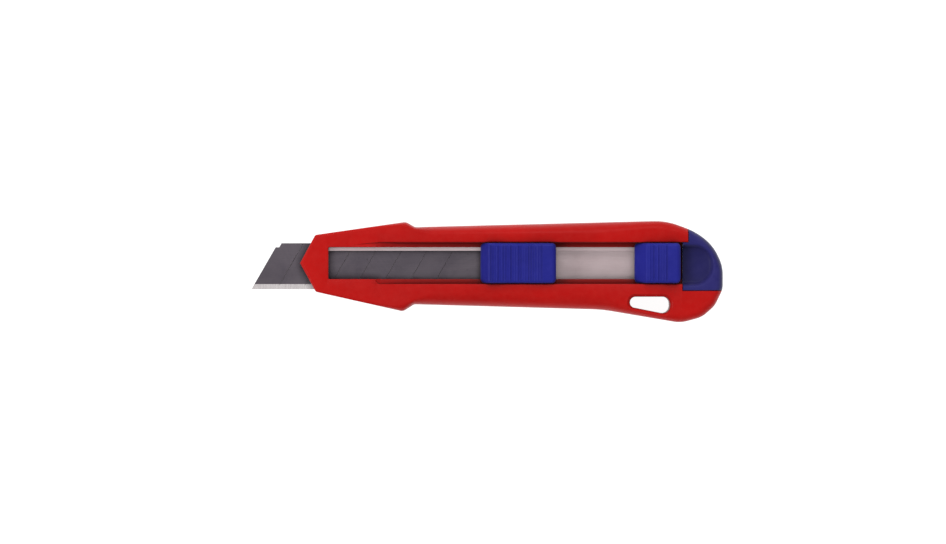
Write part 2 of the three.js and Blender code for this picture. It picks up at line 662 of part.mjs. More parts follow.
// Button: side profile with ramp, thumb ribs and a smooth rear end, cut to plan and cross-section.
function buildButton(s) {
  const halfY = trackHalf - slideGap;
  const top = frontZ((s.x0 + s.x1) / 2 * nominalLength / bodyLength) + buttonStand;
  const side = [[s.x0, zButton], [s.x0, zButton + 1.6], [s.x0 + s.ramp, top - 0.2]];
  const ribStart = s.x0 + s.ramp + 0.4;
  const ribEnd = s.x1 - s.tail;
  const ribs = Math.round((ribEnd - ribStart) / ribPitch);
  const step = (ribEnd - ribStart) / ribs;
  const dip = (x) => s.dip * Math.sin(Math.PI * (x - ribStart) / (ribEnd - ribStart));
  for (let k = 0; k < ribs; k += 1) {
    const x = ribStart + k * step;
    side.push([x + step * 0.2, top - dip(x)], [x + step * 0.55, top - dip(x)]);
    side.push([x + step * 0.75, top - 0.45 - dip(x)], [x + step, top - 0.45 - dip(x)]);
  }
  side.push([ribEnd + 0.3, top], [s.x1 - 1.6, top - 0.1], [s.x1 - 0.5, top - 0.6], [s.x1, top - 1.8],
    [s.x1, zButton]);
  const plan = roundedLoop([[s.x0, -halfY, 1.5], [s.x1, -halfY, 1.7], [s.x1, halfY, 1.7],
    [s.x0, halfY, 1.5]], 0, 4);
  const cross = roundedLoop([[-halfY, zButton - 1, 0.3], [halfY, zButton - 1, 0.3], [halfY, top + 0.1, 1.4],
    [-halfY, top + 0.1, 1.4]], 0, 4);
  let b = slabAcross(side, -halfY - 1, halfY + 1).intersect(slab(plan, zButton - 2, top + 2))
    .intersect(slabAlong(cross, s.x0 - 2, s.x1 + 2));
  const wall = 1.4;
  b = b.subtract(box(s.x0 + s.ramp + 0.4, s.x1 - wall - 0.6, -halfY + wall + 0.4, halfY - wall - 0.4,
    zButton - 1, zButton + 2.2));
  const foot = s.pocketZ + pressTravel + slideGap;
  b = b.add(box(s.stem0, s.stem1, stemLow, stemHigh, foot, zButton + 3));
  b = b.add(box(s.stem0 - hook, s.stem1 + hook, stemLow, stemHigh, foot,
    zCarrierTop - 0.6 - slideGap));
  const legHigh = Math.min(stemLow, leafHigh) - 0.2;
  b = b.add(box(s.tooth - 1.0, s.tooth + 1.0, -slotHalf + slideGap + 0.2, legHigh, zLeafTop + slideGap,
    zButton + 3));
  return b;
}

const bladeSlide = {
  x0: bladeButtonX, x1: holeX + 25.5, ramp: 3.1, tail: 5.2, dip: 0.7,
  front: holeX - 2.7, back: holeX + 24.5, flangeFront: holeX + 3.7, flangeBack: holeX + 24.5,
  z0: zCarrier, tooth: bladeToothX, leafBack: bladeToothX + leafReach,
  stem0: holeX + 7.7, stem1: holeX + 17.3, pocketZ: zCarrier + 0.8,
  rivetX: bladeToothX + leafReach - 2.2, rivetY: leafRivetY, rivetZ: zFlange - 1.5,
};
const barSlide = {
  x0: barToothX - 3.1, x1: barToothX + barButtonBack, ramp: 4.4, tail: 4.8, dip: 0.3,
  front: barToothX - 2.4, back: barToothX + 12.8, flangeFront: barToothX - 2.4,
  flangeBack: barToothX + 10.0, z0: zBarTop + fixedGap, tooth: barToothX,
  leafBack: barToothX + leafReach - 2.0, stem0: barToothX + 2.6, stem1: barToothX + 8.0,
  pocketZ: zCarrier + 0.8, rivetX: barToothX + leafReach - 4.2, rivetY: leafRivetY,
  rivetZ: zFlange - 1.5,
};

const pegHeadR = 2.1;
const pegR = 1.4;

function buildBladeCarrier() {
  return buildCarrier(bladeSlide).subtract(pin(holeX, holeY, zCarrier - 1, zCarrierTop + 1,
    pegR + fixedGap));
}

function buildPeg() {
  return turned(holeX, holeY, [[holeR - 0.7, zBlade - 0.1], [holeR - 0.35, zBlade + 0.2],
    [holeR - 0.35, zCarrier - fixedGap], [pegR, zCarrier - fixedGap], [pegR, zCarrierTop + fixedGap],
    [pegHeadR, zCarrierTop + fixedGap], [pegHeadR, zCarrierTop + 0.5], [pegHeadR - 0.6, zCarrierTop + 0.8]]);
}

function buildBarCarrier() {
  let c = buildCarrier(barSlide);
  barRivets.forEach(([x, y]) => {
    c = c.subtract(turned(x, y, [[rivetR + fixedGap, barSlide.z0 - 1],
      [rivetR + fixedGap, zCarrierTop - 1.0], [1.75, zCarrierTop - 1.0], [1.75, zCarrierTop + 1]], 16));
  });
  return c;
}

function buildBarRivet([x, y]) {
  return turned(x, y, [[barTailR, zBar + 0.05], [rivetR, zBar + 0.65],
    [rivetR, zCarrierTop - 1.0 + fixedGap], [1.6, zCarrierTop - 1.0 + fixedGap],
    [1.6, zCarrierTop - 0.5], [1.0, zCarrierTop - 0.2]], 16);
}

// Spring clip of the end cap: a strip in a slot of the cap with a bump in a notch of the shells.
function buildCapClip() {
  const y1 = clipY + leafThickness;
  const end = clipEndX - slideGap;
  const b = clipBumpX;
  const tip = wallLow - 0.55;
  const strip = [[tongueFrontX, y1], [tongueFrontX, clipY], [b - 0.8, tip + 0.25], [b - 0.3, tip],
    [b + 0.3, tip], [b + 0.8, tip + 0.25], [b + 1.7, clipY], [end, clipY], [end, y1],
    [b + 1.4, y1], [b, tip + leafThickness + 0.1], [b - 1.2, y1]];
  return slab(strip, zChannel + 1.2, zRail - slideGap - 0.4);
}

// ================= assembly =================

const red = { color: 0xb61a15, roughness: 0.5, metalness: 0.15 };
const blue = { color: 0x232781, roughness: 0.45, metalness: 0.2 };
const capBlue = { color: 0x2c2b66, roughness: 0.5, metalness: 0.2 };
const bladeSteel = { color: 0x8a8386, roughness: 0.32, metalness: 0.9 };
const barSteel = { color: 0xb8a8a8, roughness: 0.35, metalness: 0.85 };
const springSteel = { color: 0x9a979a, roughness: 0.35, metalness: 0.9 };
const darkSteel = { color: 0x55555a, roughness: 0.45, metalness: 0.8 };
const screwSteel = { color: 0x77777c, roughness: 0.38, metalness: 0.9 };

const knife = new THREE.Group();
knife.name = 'utility_knife';
knife.position.set(-(X(endX) + tipX) / 2, -(Y(16.4) + Y(-22.93)) / 2, 0);

function piece(name, manifold, look) {
  const m = manifold.getMesh();
  const g = new THREE.BufferGeometry();
  g.setAttribute('position', new THREE.BufferAttribute(new Float32Array(m.vertProperties), 3));
  g.setIndex(new THREE.BufferAttribute(new Uint32Array(m.triVerts), 1));
  const mesh = new THREE.Mesh(toCreasedNormals(g, 0.6), new THREE.MeshStandardMaterial(look));
  mesh.name = name;
  knife.add(mesh);
}

const shells = buildShells();
piece('front_shell', shells.front, red);
piece('back_shell', shells.back, red);
bodyScrews.forEach((at, i) => piece(`shell_screw_${i + 1}`, bodyScrew(at), screwSteel));
piece('detent_rail', buildRail(), darkSteel);
railEars.forEach((x, i) => piece(`rail_screw_${i + 1}`, railScrew(x), screwSteel));
piece('blade', buildBlade(), bladeSteel);
piece('blade_carrier', buildBladeCarrier(), darkSteel);
piece('blade_peg', buildPeg(), springSteel);
piece('blade_lock_spring', buildLeaf(bladeSlide), springSteel);
piece('blade_spring_rivet', buildLeafRivet(bladeSlide), screwSteel);
piece('blade_button', buildButton(bladeSlide), blue);
piece('stabiliser_bar', buildBar(), barSteel);
piece('bar_carrier', buildBarCarrier(), darkSteel);
barRivets.forEach((at, i) => piece(`bar_rivet_${i + 1}`, buildBarRivet(at), screwSteel));
piece('bar_lock_spring', buildLeaf(barSlide), springSteel);
piece('bar_spring_rivet', buildLeafRivet(barSlide), screwSteel);
piece('bar_button', buildButton(barSlide), blue);
piece('end_cap', shells.cap, capBlue);
piece('cap_clip', buildCapClip(), springSteel);

export default knife;
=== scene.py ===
"""Looks of the snap-off utility knife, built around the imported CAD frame.

Shapes are worked out in millimetres from the nose tip, then placed in the row frame in metres."""
import math

import bmesh
import bpy
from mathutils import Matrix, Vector
from mathutils.bvhtree import BVHTree


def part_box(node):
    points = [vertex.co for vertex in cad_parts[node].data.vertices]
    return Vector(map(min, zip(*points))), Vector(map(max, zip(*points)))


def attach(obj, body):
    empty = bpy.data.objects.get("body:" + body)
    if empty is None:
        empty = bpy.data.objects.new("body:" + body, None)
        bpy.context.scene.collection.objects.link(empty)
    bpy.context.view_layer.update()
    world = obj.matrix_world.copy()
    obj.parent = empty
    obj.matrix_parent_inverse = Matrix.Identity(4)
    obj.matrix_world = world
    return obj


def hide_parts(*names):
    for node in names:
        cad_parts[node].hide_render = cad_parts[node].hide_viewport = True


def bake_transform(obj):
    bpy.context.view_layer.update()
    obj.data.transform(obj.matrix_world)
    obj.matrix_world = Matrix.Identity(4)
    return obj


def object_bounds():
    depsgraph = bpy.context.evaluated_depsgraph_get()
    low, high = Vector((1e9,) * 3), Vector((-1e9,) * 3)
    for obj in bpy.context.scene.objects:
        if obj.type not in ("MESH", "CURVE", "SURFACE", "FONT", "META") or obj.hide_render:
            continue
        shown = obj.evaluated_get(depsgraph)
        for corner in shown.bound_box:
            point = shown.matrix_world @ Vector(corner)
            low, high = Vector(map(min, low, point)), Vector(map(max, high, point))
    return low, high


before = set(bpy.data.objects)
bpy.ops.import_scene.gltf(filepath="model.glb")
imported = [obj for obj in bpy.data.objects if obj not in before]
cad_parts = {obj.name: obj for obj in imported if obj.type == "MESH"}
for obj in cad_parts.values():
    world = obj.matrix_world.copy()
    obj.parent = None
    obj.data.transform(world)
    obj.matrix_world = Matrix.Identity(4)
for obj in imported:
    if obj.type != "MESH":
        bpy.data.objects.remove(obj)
cad_low, cad_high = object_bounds()
MM = 0.001

# ---- the local millimetre frame: nose tip at x = 0, blade slot centred on y = 0, back at z = 0 ----
EDGE_Y = -10.2
ORIGIN = Vector((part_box("front_shell")[0].x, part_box("blade")[0].y - EDGE_Y * MM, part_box("back_shell")[0].z))


def local(node):
    """Box of a CAD node in local millimetres: x0, x1, y0, y1, z0, z1."""
    low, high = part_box(node)
    a, b = (low - ORIGIN) / MM, (high - ORIGIN) / MM
    return a.x, b.x, a.y, b.y, a.z, b.z


# ================= mesh helpers =================


def make(name, verts, faces):
    """Mesh object with outward normals, vertices in local millimetres."""
    mesh = bpy.data.meshes.new(name)
    mesh.from_pydata([tuple(v) for v in verts], [], faces)
    bm = bmesh.new()
    bm.from_mesh(mesh)
    bmesh.ops.remove_doubles(bm, verts=bm.verts, dist=1e-5)
    bmesh.ops.recalc_face_normals(bm, faces=bm.faces)
    bm.to_mesh(mesh)
    bm.free()
    obj = bpy.data.objects.new(name, mesh)
    bpy.context.scene.collection.objects.link(obj)
    return obj


def combine(obj, other, operation):
    """Boolean of obj with other, which is used up."""
    mod = obj.modifiers.new("bool", "BOOLEAN")
    mod.operation = operation
    mod.solver = "MANIFOLD"
    mod.object = other
    bpy.context.view_layer.update()
    graph = bpy.context.evaluated_depsgraph_get()
    mesh = bpy.data.meshes.new_from_object(obj.evaluated_get(graph))
    obj.modifiers.clear()
    old = obj.data
    obj.data = mesh
    bpy.data.meshes.remove(old)
    bpy.data.objects.remove(other)
    return obj


def cut(obj, *tools):
    """Take the tools out of obj, one after the other."""
    for tool in tools:
        combine(obj, tool, "DIFFERENCE")
    return obj


def join(obj, *others):
    """Add the others to obj, one after the other."""
    for other in others:
        combine(obj, other, "UNION")
    return obj


def box_loop(x0, x1, y0, y1):
    return [(x0, y0), (x1, y0), (x1, y1), (x0, y1)]


def block(x0, x1, y0, y1, z0, z1):
    return stack([(box_loop(x0, x1, y0, y1), z0), (box_loop(x0, x1, y0, y1), z1)])


def rounded_loop(corners, grow=0.0, steps=6):
    """Corner points (x, y, radius) as a closed counter-clockwise loop with arcs, grown outwards."""
    n = len(corners)
    area = sum(corners[i][0] * corners[(i + 1) % n][1] - corners[(i + 1) % n][0] * corners[i][1]
               for i in range(n))
    sign = 1 if area > 0 else -1
    lines = []
    for i in range(n):
        a, b = corners[i], corners[(i + 1) % n]
        length = math.hypot(b[0] - a[0], b[1] - a[1])
        dx, dy = (b[0] - a[0]) / length, (b[1] - a[1]) / length
        lines.append((a[0] + sign * dy * grow, a[1] - sign * dx * grow, dx, dy))
    out = []
    for i in range(n):
        px, py, pdx, pdy = lines[i - 1]
        qx, qy, qdx, qdy = lines[i]
        cross = pdx * qdy - pdy * qdx
        t = ((qx - px) * qdy - (qy - py) * qdx) / cross
        vx, vy = px + pdx * t, py + pdy * t
        turn = math.atan2(cross, pdx * qdx + pdy * qdy)
        s = 1 if turn > 0 else -1
        r = max(corners[i][2] + (grow if s == sign else -grow), 0.02)
        back = r * math.tan(abs(turn) / 2)
        cx, cy = vx - pdx * back - s * pdy * r, vy - pdy * back + s * pdx * r
        start = math.atan2(vy - pdy * back - cy, vx - pdx * back - cx)
        out += [(cx + r * math.cos(start + turn * k / steps), cy + r * math.sin(start + turn * k / steps))
                for k in range(steps + 1)]
    return out if sign > 0 else out[::-1]


def rounded_path(corners, steps=14):
    """Open path with arcs at its inner corners."""
    out = [(corners[0][0], corners[0][1])]
    for i in range(1, len(corners) - 1):
        a, v, b = corners[i - 1], corners[i], corners[i + 1]
        l1 = math.hypot(v[0] - a[0], v[1] - a[1])
        l2 = math.hypot(b[0] - v[0], b[1] - v[1])
        d1 = ((v[0] - a[0]) / l1, (v[1] - a[1]) / l1)
        d2 = ((b[0] - v[0]) / l2, (b[1] - v[1]) / l2)
        turn = math.atan2(d1[0] * d2[1] - d1[1] * d2[0], d1[0] * d2[0] + d1[1] * d2[1])
        s = 1 if turn > 0 else -1
        back = v[2] * math.tan(abs(turn) / 2)
        cx = v[0] - d1[0] * back - s * d1[1] * v[2]
        cy = v[1] - d1[1] * back + s * d1[0] * v[2]
        start = math.atan2(v[1] - d1[1] * back - cy, v[0] - d1[0] * back - cx)
        out += [(cx + v[2] * math.cos(start + turn * k / steps),
                 cy + v[2] * math.sin(start + turn * k / steps)) for k in range(steps + 1)]
    out.append((corners[-1][0], corners[-1][1]))
    return out


def stack(layers):
    """Solid through plan loops with equal point counts. A layer is (loop, z), z a number or one per point."""
    n = len(layers[0][0])
    verts, faces = [], []
    for loop, z in layers:
        zs = z if isinstance(z, list) else [z] * n
        verts += [(p[0], p[1], h) for p, h in zip(loop, zs)]
    for k in range(len(layers) - 1):
        for i in range(n):
            j = (i + 1) % n
            faces.append((k * n + i, k * n + j, (k + 1) * n + j, (k + 1) * n + i))
    faces.append(tuple(range(n))[::-1])
    faces.append(tuple(range((len(layers) - 1) * n, len(layers) * n)))
    return make("solid", verts, faces)


def turned(x, y, profile, sides=48):
    """Solid of revolution about a vertical axis from (radius, z) steps."""
    return stack([([(x + r * math.cos(2 * math.pi * k / sides), y + r * math.sin(2 * math.pi * k / sides))
                    for k in range(sides)], z) for r, z in profile])


def swept_x(section, x0, x1, steps=1):
    """Solid with a closed (y, z) section along X."""
    n = len(section)
    verts, faces = [], []
    for s in range(steps + 1):
        x = x0 + (x1 - x0) * s / steps
        verts += [(x, p[0], p[1]) for p in section]
    for s in range(steps):
        for i in range(n):
            j = (i + 1) % n
            faces.append((s * n + i, (s + 1) * n + i, (s + 1) * n + j, s * n + j))
    faces.append(tuple(range(n)))
    faces.append(tuple(range(steps * n, (steps + 1) * n))[::-1])
    return make("swept", verts, faces)


def through(knots, x):
    """Smooth curve through (x, value) knots, level at both ends."""
    last = len(knots) - 1
    if x <= knots[0][0]:
        return knots[0][1]
    if x >= knots[last][0]:
        return knots[last][1]
    i = 0
    while x > knots[i + 1][0]:
        i += 1

    def slope(k):
        if k in (0, last):
            return 0
        return (knots[k + 1][1] - knots[k - 1][1]) / (knots[k + 1][0] - knots[k - 1][0])

    (x0, v0), (x1, v1) = knots[i], knots[i + 1]
    w = x1 - x0
    t = (x - x0) / w
    return ((2 * t**3 - 3 * t**2 + 1) * v0 + (t**3 - 2 * t**2 + t) * w * slope(i)
            + (-2 * t**3 + 3 * t**2) * v1 + (t**3 - t**2) * w * slope(i + 1))


# ================= outer form of the body =================
# Outlines run from the nose to the tail, and an inner corner is (x, y, radius). LAND is the flat of the front
# face. Knots are (x, value): height of the front face, depth of its rounded edge and height of the back face.

END_X, END_Y, LAND_X0, LAND_X1 = 164.85, -5.5, 1.2, 161.9
OUTLINE_HIGH = [(0, 0), (5.94, 11.0, 1.2), (41.3, 16.1, 2.5), (44.9, 14.04, 2), (142.7, 16.5, 26),
                (154.65, 12.1, 26), (161.2, 6.54, 18), (END_X, -1.1, 15), (END_X, END_Y)]
OUTLINE_LOW = [(0, 0), (6.16, -11.2, 1.2), (40.2, -18.85, 2.5), (44.5, -16.06, 2), (117.8, -18.1, 60),
               (148.3, -23.26, 12), (156.7, -21.03, 10), (161.7, -16.6, 9), (END_X, -10.1, 8), (END_X, END_Y)]
LAND_HIGH = [(LAND_X0, 0), (6.8, 10.1, 0.8), (39.5, 14.6, 5), (51, 11.2, 12), (117, 11.4, 50),
             (137, 13.4, 20), (150, 11.2, 16), (158, 4.6, 14), (LAND_X1, -2, 5), (LAND_X1, END_Y)]
LAND_LOW = [(LAND_X0, 0), (6.9, -10.2, 0.8), (37.5, -16.7, 5), (51, -11.5, 12), (112, -11.8, 40),
            (128, -16.2, 16), (147.8, -20.3, 8), (154.5, -18.6, 7), (159.4, -14.3, 7), (LAND_X1, -10, 5),
            (LAND_X1, END_Y)]
FRONT_KNOTS = [(0, 10.8), (26, 11.5), (46, 14.0), (72, 16.2), (108, 17), (140, 16.6), (165, 14.6)]
EDGE_KNOTS = [(0, 1.1), (30, 1.3), (50, 6), (115, 6), (135, 4.2), (165, 4.2)]
BACK_KNOTS = [(0, 1.8), (20, 1.1), (45, 0)]
BACK_INSET, BACK_DEPTH = 2.0, 1.8
SEAM_LIP = 0.22
SEAM_LOW, SEAM_HIGH = local("back_shell")[5], local("front_shell")[4]
JOINT_X, JOINT_STEP_X, JOINT_STEP_Y, JOINT_LOW_Y = 149.0, 151.3, 8.1, -10.7


def path_y(path, x):
    """Height of an open path at x."""
    i = 0
    while i < len(path) - 2 and path[i + 1][0] < x:
        i += 1
    (x0, y0), (x1, y1) = path[i], path[i + 1]
    return y0 if x1 - x0 < 1e-9 else y0 + (y1 - y0) * min((x - x0) / (x1 - x0), 1)


def stations():
    """Places along the body, closer together where its outline turns."""
    tail_x, tail_count = 160, 22
    xs = [0.0]
    for a, b, n in ((0, 1, 6), (1, 5, 4), (5, 7.4, 14), (7.4, 37, 20), (37, 47, 34), (47, 54, 10),
                    (54, 108, 36), (108, 140, 26), (140, 152, 14), (152, tail_x, 14)):
        xs += [a + (b - a) * k / n for k in range(1, n + 1)]
    return xs + [tail_x + (END_X - tail_x) * math.sin(math.pi / 2 * k / tail_count)
                 for k in range(1, tail_count + 1)]


def body_form(part):
    """Loft of the body: 'front' above the seam, 'back' below it, or 'whole'."""
    xs = stations()
    paths = [[rounded_path(c) for c in pair] for pair in ((OUTLINE_HIGH, LAND_HIGH), (OUTLINE_LOW, LAND_LOW))]
    lip, back_steps, top_steps = SEAM_LIP, 6, 12

    def section(side, i):
        outer, land = paths[side]
        x = xs[i]
        o = (x, path_y(outer, x))
        lx = LAND_X0 + x * (LAND_X1 - LAND_X0) / END_X
        q = (lx, path_y(land, lx))
        if i == len(xs) - 1:
            o, q = (o[0], END_Y), (q[0], END_Y)
        reach = math.hypot(q[0] - o[0], q[1] - o[1])
        d = ((q[0] - o[0]) / reach, (q[1] - o[1]) / reach)
        top, depth = through(FRONT_KNOTS, lx), through(EDGE_KNOTS, lx)

        def at(inset, z):
            return (o[0] + d[0] * inset, o[1] + d[1] * inset, z)

        ring = []
        if part != "front":
            zb = through(BACK_KNOTS, o[0] + d[0] * BACK_INSET)
            for k in range(back_steps + 1):
                a = math.pi / 2 * k / back_steps
                ring.append(at(BACK_INSET * (1 - math.sin(a)), zb + BACK_DEPTH * (1 - math.cos(a))))
        if part == "back":
            ring += [at(0, SEAM_LOW - lip), at(lip * 0.3, SEAM_LOW - lip * 0.3), at(lip, SEAM_LOW)]
            return ring
        if part == "front":
            ring += [at(lip, SEAM_HIGH), at(lip * 0.3, SEAM_HIGH + lip * 0.3), at(0, SEAM_HIGH + lip)]
        for k in range(top_steps + 1):
            a = math.pi / 2 * k / top_steps
            c = math.cos(a)
            z = top - depth + depth * math.sin(a)
            ring.append((q[0] + (o[0] - q[0]) * c, q[1] + (o[1] - q[1]) * c, z))
        return ring

    last = len(xs) - 1
    loop = [section(0, i) for i in range(last + 1)] + [section(1, i) for i in range(last - 1, 0, -1)]
    rings, n = len(loop[0]), len(loop)
    verts = [p for ring in loop for p in ring]
    faces = []
    for i in range(n):
        j = (i + 1) % n
        faces += [(j * rings + k, i * rings + k, i * rings + k + 1, j * rings + k + 1)
                  for k in range(rings - 1)]

    def low(i):
        return i if i in (0, last) else n - i

    for i in range(last):
        for k, up in ((rings - 1, True), (0, False)):
            quad = []
            for p in (i, i + 1, low(i + 1), low(i)):
                if p * rings + k not in quad:
                    quad.append(p * rings + k)
            faces.append(tuple(quad if not up else quad[::-1]))
    return make("body", verts, faces)


form = body_form("whole")
tree = BVHTree.FromPolygons([v.co.copy() for v in form.data.vertices],
                            [p.vertices[:] for p in form.data.polygons])
OUTSIDE_FRONT, OUTSIDE_BACK, FAR_OFF = 8.0, 3.0, 60


def surface(x, y):
    """Height of the front face over a point, or a middle height beyond the outline."""
    hit = tree.ray_cast(Vector((x, y, FAR_OFF)), Vector((0, 0, -1)))
    return hit[0].z if hit[0] else OUTSIDE_FRONT


def back_surface(x, y):
    """Height of the back face over a point, or a low height beyond the outline."""
    hit = tree.ray_cast(Vector((x, y, -FAR_OFF)), Vector((0, 0, 1)))
    return hit[0].z if hit[0] else OUTSIDE_BACK


def draped(corners, layers, step=1.5, steps=6):
    """Cutter from a rounded outline. Layers are (grow, kind, value): kind 'z' is a height, and 'top' and
    'back' are measured from the front and back faces of the body. Each layer stays above the one before."""
    least_rise = 0.004
    base = rounded_loop(corners, 0.0, steps)
    n = len(base)
    counts = [max(1, int(math.dist(base[i], base[(i + 1) % n]) / step)) for i in range(n)]
    out, under = [], None
    for grow, kind, value in layers:
        raw = rounded_loop(corners, grow, steps)
        loop = []
        for i in range(n):
            a, b = raw[i], raw[(i + 1) % n]
            loop += [(a[0] + (b[0] - a[0]) * k / counts[i], a[1] + (b[1] - a[1]) * k / counts[i])
                     for k in range(counts[i])]
        if kind == "z":
            zs = [value] * len(loop)
        elif kind == "top":
            zs = [surface(*p) + value for p in loop]
        else:
            zs = [back_surface(*p) + value for p in loop]
        if under:
            zs = [max(z, u + least_rise) for z, u in zip(zs, under)]
        under = zs
        out.append((loop, zs))
    return stack(out)


ABOVE, CLEAR = 40, 0.03        # a height over everything, and how far a cutter passes a face


def soft_edge(r, z0):
    """Layers of a hole with a rounded upper edge of radius r."""
    return [(0, "z", z0), (0, "top", -r), (r * 0.13, "top", -r * 0.5), (r * 0.5, "top", -r * 0.13),
            (r * 1.02, "top", CLEAR), (r * 1.02, "z", ABOVE)]


# ================= shells and end cap =================

rail = local("detent_rail")
bar = local("stabiliser_bar")
GAP = 0.3                      # between pieces that slide on each other
WALL_LOW, WALL_HIGH = EDGE_Y - GAP, bar[3] + GAP
CHANNEL_Z, LEDGE_Z = bar[4] - GAP, rail[5] + GAP
TRACK_Z = LEDGE_Z + 1.2
NOSE_ROOF = bar[5] + 0.4
SLOT, TRACK = 6.2, 8.1         # half widths of the window and of the button track
FAR = 153                      # the channel ends inside the end cap
WINDOW_X, TRACK_X = 11.1, 29.8
RAMP_X0, RAMP_X1, RAMP_LAST = 19.5, 33, 39
EYELET = [(128.5, -13.1, 2.2), (144.1, -13.1, 2.7), (144.1, -20.1, 2.8), (128.5, -17.0, 2.0)]
SEAM, SEAM_STEP, SEAM_STEP_Z, SEAM_EDGE = 0.12, 0.4, 9.0, 0.22
clip = local("cap_clip")


def cap_region(grow):
    """Plan of the end cap, taken far out past the tail and the spine."""
    left, step_left, low, high = JOINT_X - grow, JOINT_STEP_X - grow, JOINT_LOW_Y - grow, JOINT_STEP_Y + grow
    tail, spine, sharp = FAR + 20, 60, 0.02
    return [(left, low, sharp), (tail, low, sharp), (tail, spine, sharp), (step_left, spine, sharp),
            (step_left, high, sharp), (left, high, sharp)]


def slot_plan(x, half, radius):
    """Rounded slot from x to the end of the channel."""
    return [(x, -half, radius), (FAR, -half, radius), (FAR, half, radius), (x, half, radius)]


def lead_in():
    """Shallow start of the button track on the spine side: widens and deepens toward the tail."""
    inner, deepest, slope = SLOT - 0.5, 0.75, 14
    plan = [(RAMP_X0, inner), (RAMP_LAST, inner), (RAMP_LAST, TRACK), (31, TRACK), (28, 7.95), (24, 7.5),
            (RAMP_X0, 6.9)]
    floor_z = [surface(x, y) - deepest * min(1, (x - RAMP_X0) / slope) for x, y in plan]
    floor_z = [max(z, TRACK_Z - 0.02) if x > RAMP_X1 else z for z, (x, _) in zip(floor_z, plan)]
    return stack([(plan, floor_z), (plan, ABOVE)])


def channel_tools(front):
    """Cutters of the channel, and in the front shell of the window, the track and its ledges. Their floors
    and roofs differ by hundredths of a millimetre, so that no two cuts share a face."""
    nose_end, channel_x, key_x, ledge_x = 33, 31, 144.1, 31.5
    tools = [block(-5, nose_end, WALL_LOW, WALL_HIGH, CHANNEL_Z, NOSE_ROOF),
             block(channel_x, FAR, WALL_LOW, WALL_HIGH, CHANNEL_Z + 0.01, LEDGE_Z),
             block(key_x, FAR, WALL_HIGH - 1, WALL_HIGH + 2.5, CHANNEL_Z + 0.02, LEDGE_Z - 0.01),
             block(clip[0] + 0.2, clip[0] + 3.8, WALL_LOW - 0.95, WALL_LOW + 1, CHANNEL_Z + 0.03,
                   LEDGE_Z - 0.02)]
    if front:
        ledge_edge = [(0, "z", LEDGE_Z - 1), (0, "z", TRACK_Z - 0.25), (0.07, "z", TRACK_Z - 0.07),
                      (0.25, "z", TRACK_Z + 0.02), (0.25, "z", TRACK_Z + 0.1)]
        tools += [draped(slot_plan(WINDOW_X, SLOT, 0.4), soft_edge(0.35, CHANNEL_Z + 0.5)),
                  draped(slot_plan(TRACK_X, TRACK, 1.6), soft_edge(0.45, TRACK_Z)),
                  draped(slot_plan(ledge_x, SLOT, 0.4), ledge_edge), lead_in()]
    return tools


def eyelet_tool():
    """Tether eyelet, flared at both faces."""
    flare = [(1.3, "back", -1.0), (0.9, "back", 0.0), (0.3, "back", 0.35), (0, "back", 1.0), (0, "top", -1.3),
             (0.18, "top", -0.75), (0.55, "top", -0.3), (1.1, "top", -0.02), (1.5, "top", 0.6),
             (1.5, "z", ABOVE)]
    return draped(EYELET, flare, step=1.0, steps=10)


def cap_tool(grow, edge):
    """Room or bounds of the end cap. The seam steps sideways half way down, so no light shines through it."""
    layers = [(-SEAM_STEP, "z", -20), (-SEAM_STEP, "back", -0.05), (-SEAM_STEP, "z", SEAM_STEP_Z),
              (0, "z", SEAM_STEP_Z + 0.02 + abs(edge) * 0.1), (0, "top", -0.25), (edge, "top", CLEAR),
              (edge, "z", ABOVE)]
    return draped(cap_region(grow), layers)


def middle(node):
    """Plan centre of a CAD node and the height of its top."""
    x0, x1, y0, y1, _, z1 = local(node)
    return (x0 + x1) / 2, (y0 + y1) / 2, z1


def shell(part):
    """Front or back half of the body with its channel, eyelet and room for the end cap."""
    body = body_form(part)
    cut(body, *channel_tools(part == "front"))
    return cut(body, eyelet_tool(), cap_tool(SEAM / 2, SEAM_EDGE))


front, back = shell("front"), shell("back")
HEAD_R, SCREW_R = 2.2, 1.35    # radii of the screw heads and of the holes for the threads
for i in range(1, 7):
    cx, cy, z1 = middle(f"shell_screw_{i}")
    cut(back, turned(cx, cy, [(HEAD_R + 0.65, -1), (HEAD_R + 0.6, -0.01), (HEAD_R + 0.3, 0.3),
                              (HEAD_R + 0.25, 2.2), (SCREW_R, 2.2), (SCREW_R, 9)]))
    cut(front, turned(cx, cy, [(SCREW_R, 4), (SCREW_R, z1 + 0.4)], 24))
for i in (1, 2, 3):
    cx, cy, z1 = middle(f"rail_screw_{i}")
    cut(front, block(cx - 2.5, cx + 2.5, cy - 2.5, WALL_LOW + 1, 5, LEDGE_Z + 0.005),
        turned(cx, cy, [(SCREW_R, 5), (SCREW_R, z1 + 0.6)], 24))

# End cap: the tail of the body form with a thumb dish, a hollow, tongues in front and a slot for the clip.
cap = form
combine(cap, cap_tool(-SEAM / 2, -SEAM_EDGE), "INTERSECT")
DISH = [(140, -8.4, 0.5), (160.7, -8.4, 7.2), (160.7, 6.8, 7.06), (140, 6.8, 0.5)]
dish_z = surface(155, -1) - 2.0
dish_wall = [(-1.5, "z", dish_z), (-0.95, "z", dish_z + 0.12), (-0.5, "z", dish_z + 0.5),
             (-0.05, "top", -0.75), (0.2, "top", -0.38), (0.55, "top", -0.12), (1.0, "top", CLEAR),
             (1.0, "z", ABOVE)]
cut(cap, draped(DISH, dish_wall, step=1.2, steps=16))
clip_y = clip[3] - 0.4
tongue_x, hollow_x = JOINT_X - 4.6, JOINT_X - 9
cut(cap, block(hollow_x, clip[1] + 0.6, -7.2, 5.2, CHANNEL_Z + 1.5, LEDGE_Z),
    block(hollow_x, clip[1] + GAP, clip_y - GAP, clip_y + 0.7, CHANNEL_Z + 0.8, LEDGE_Z - 0.6))
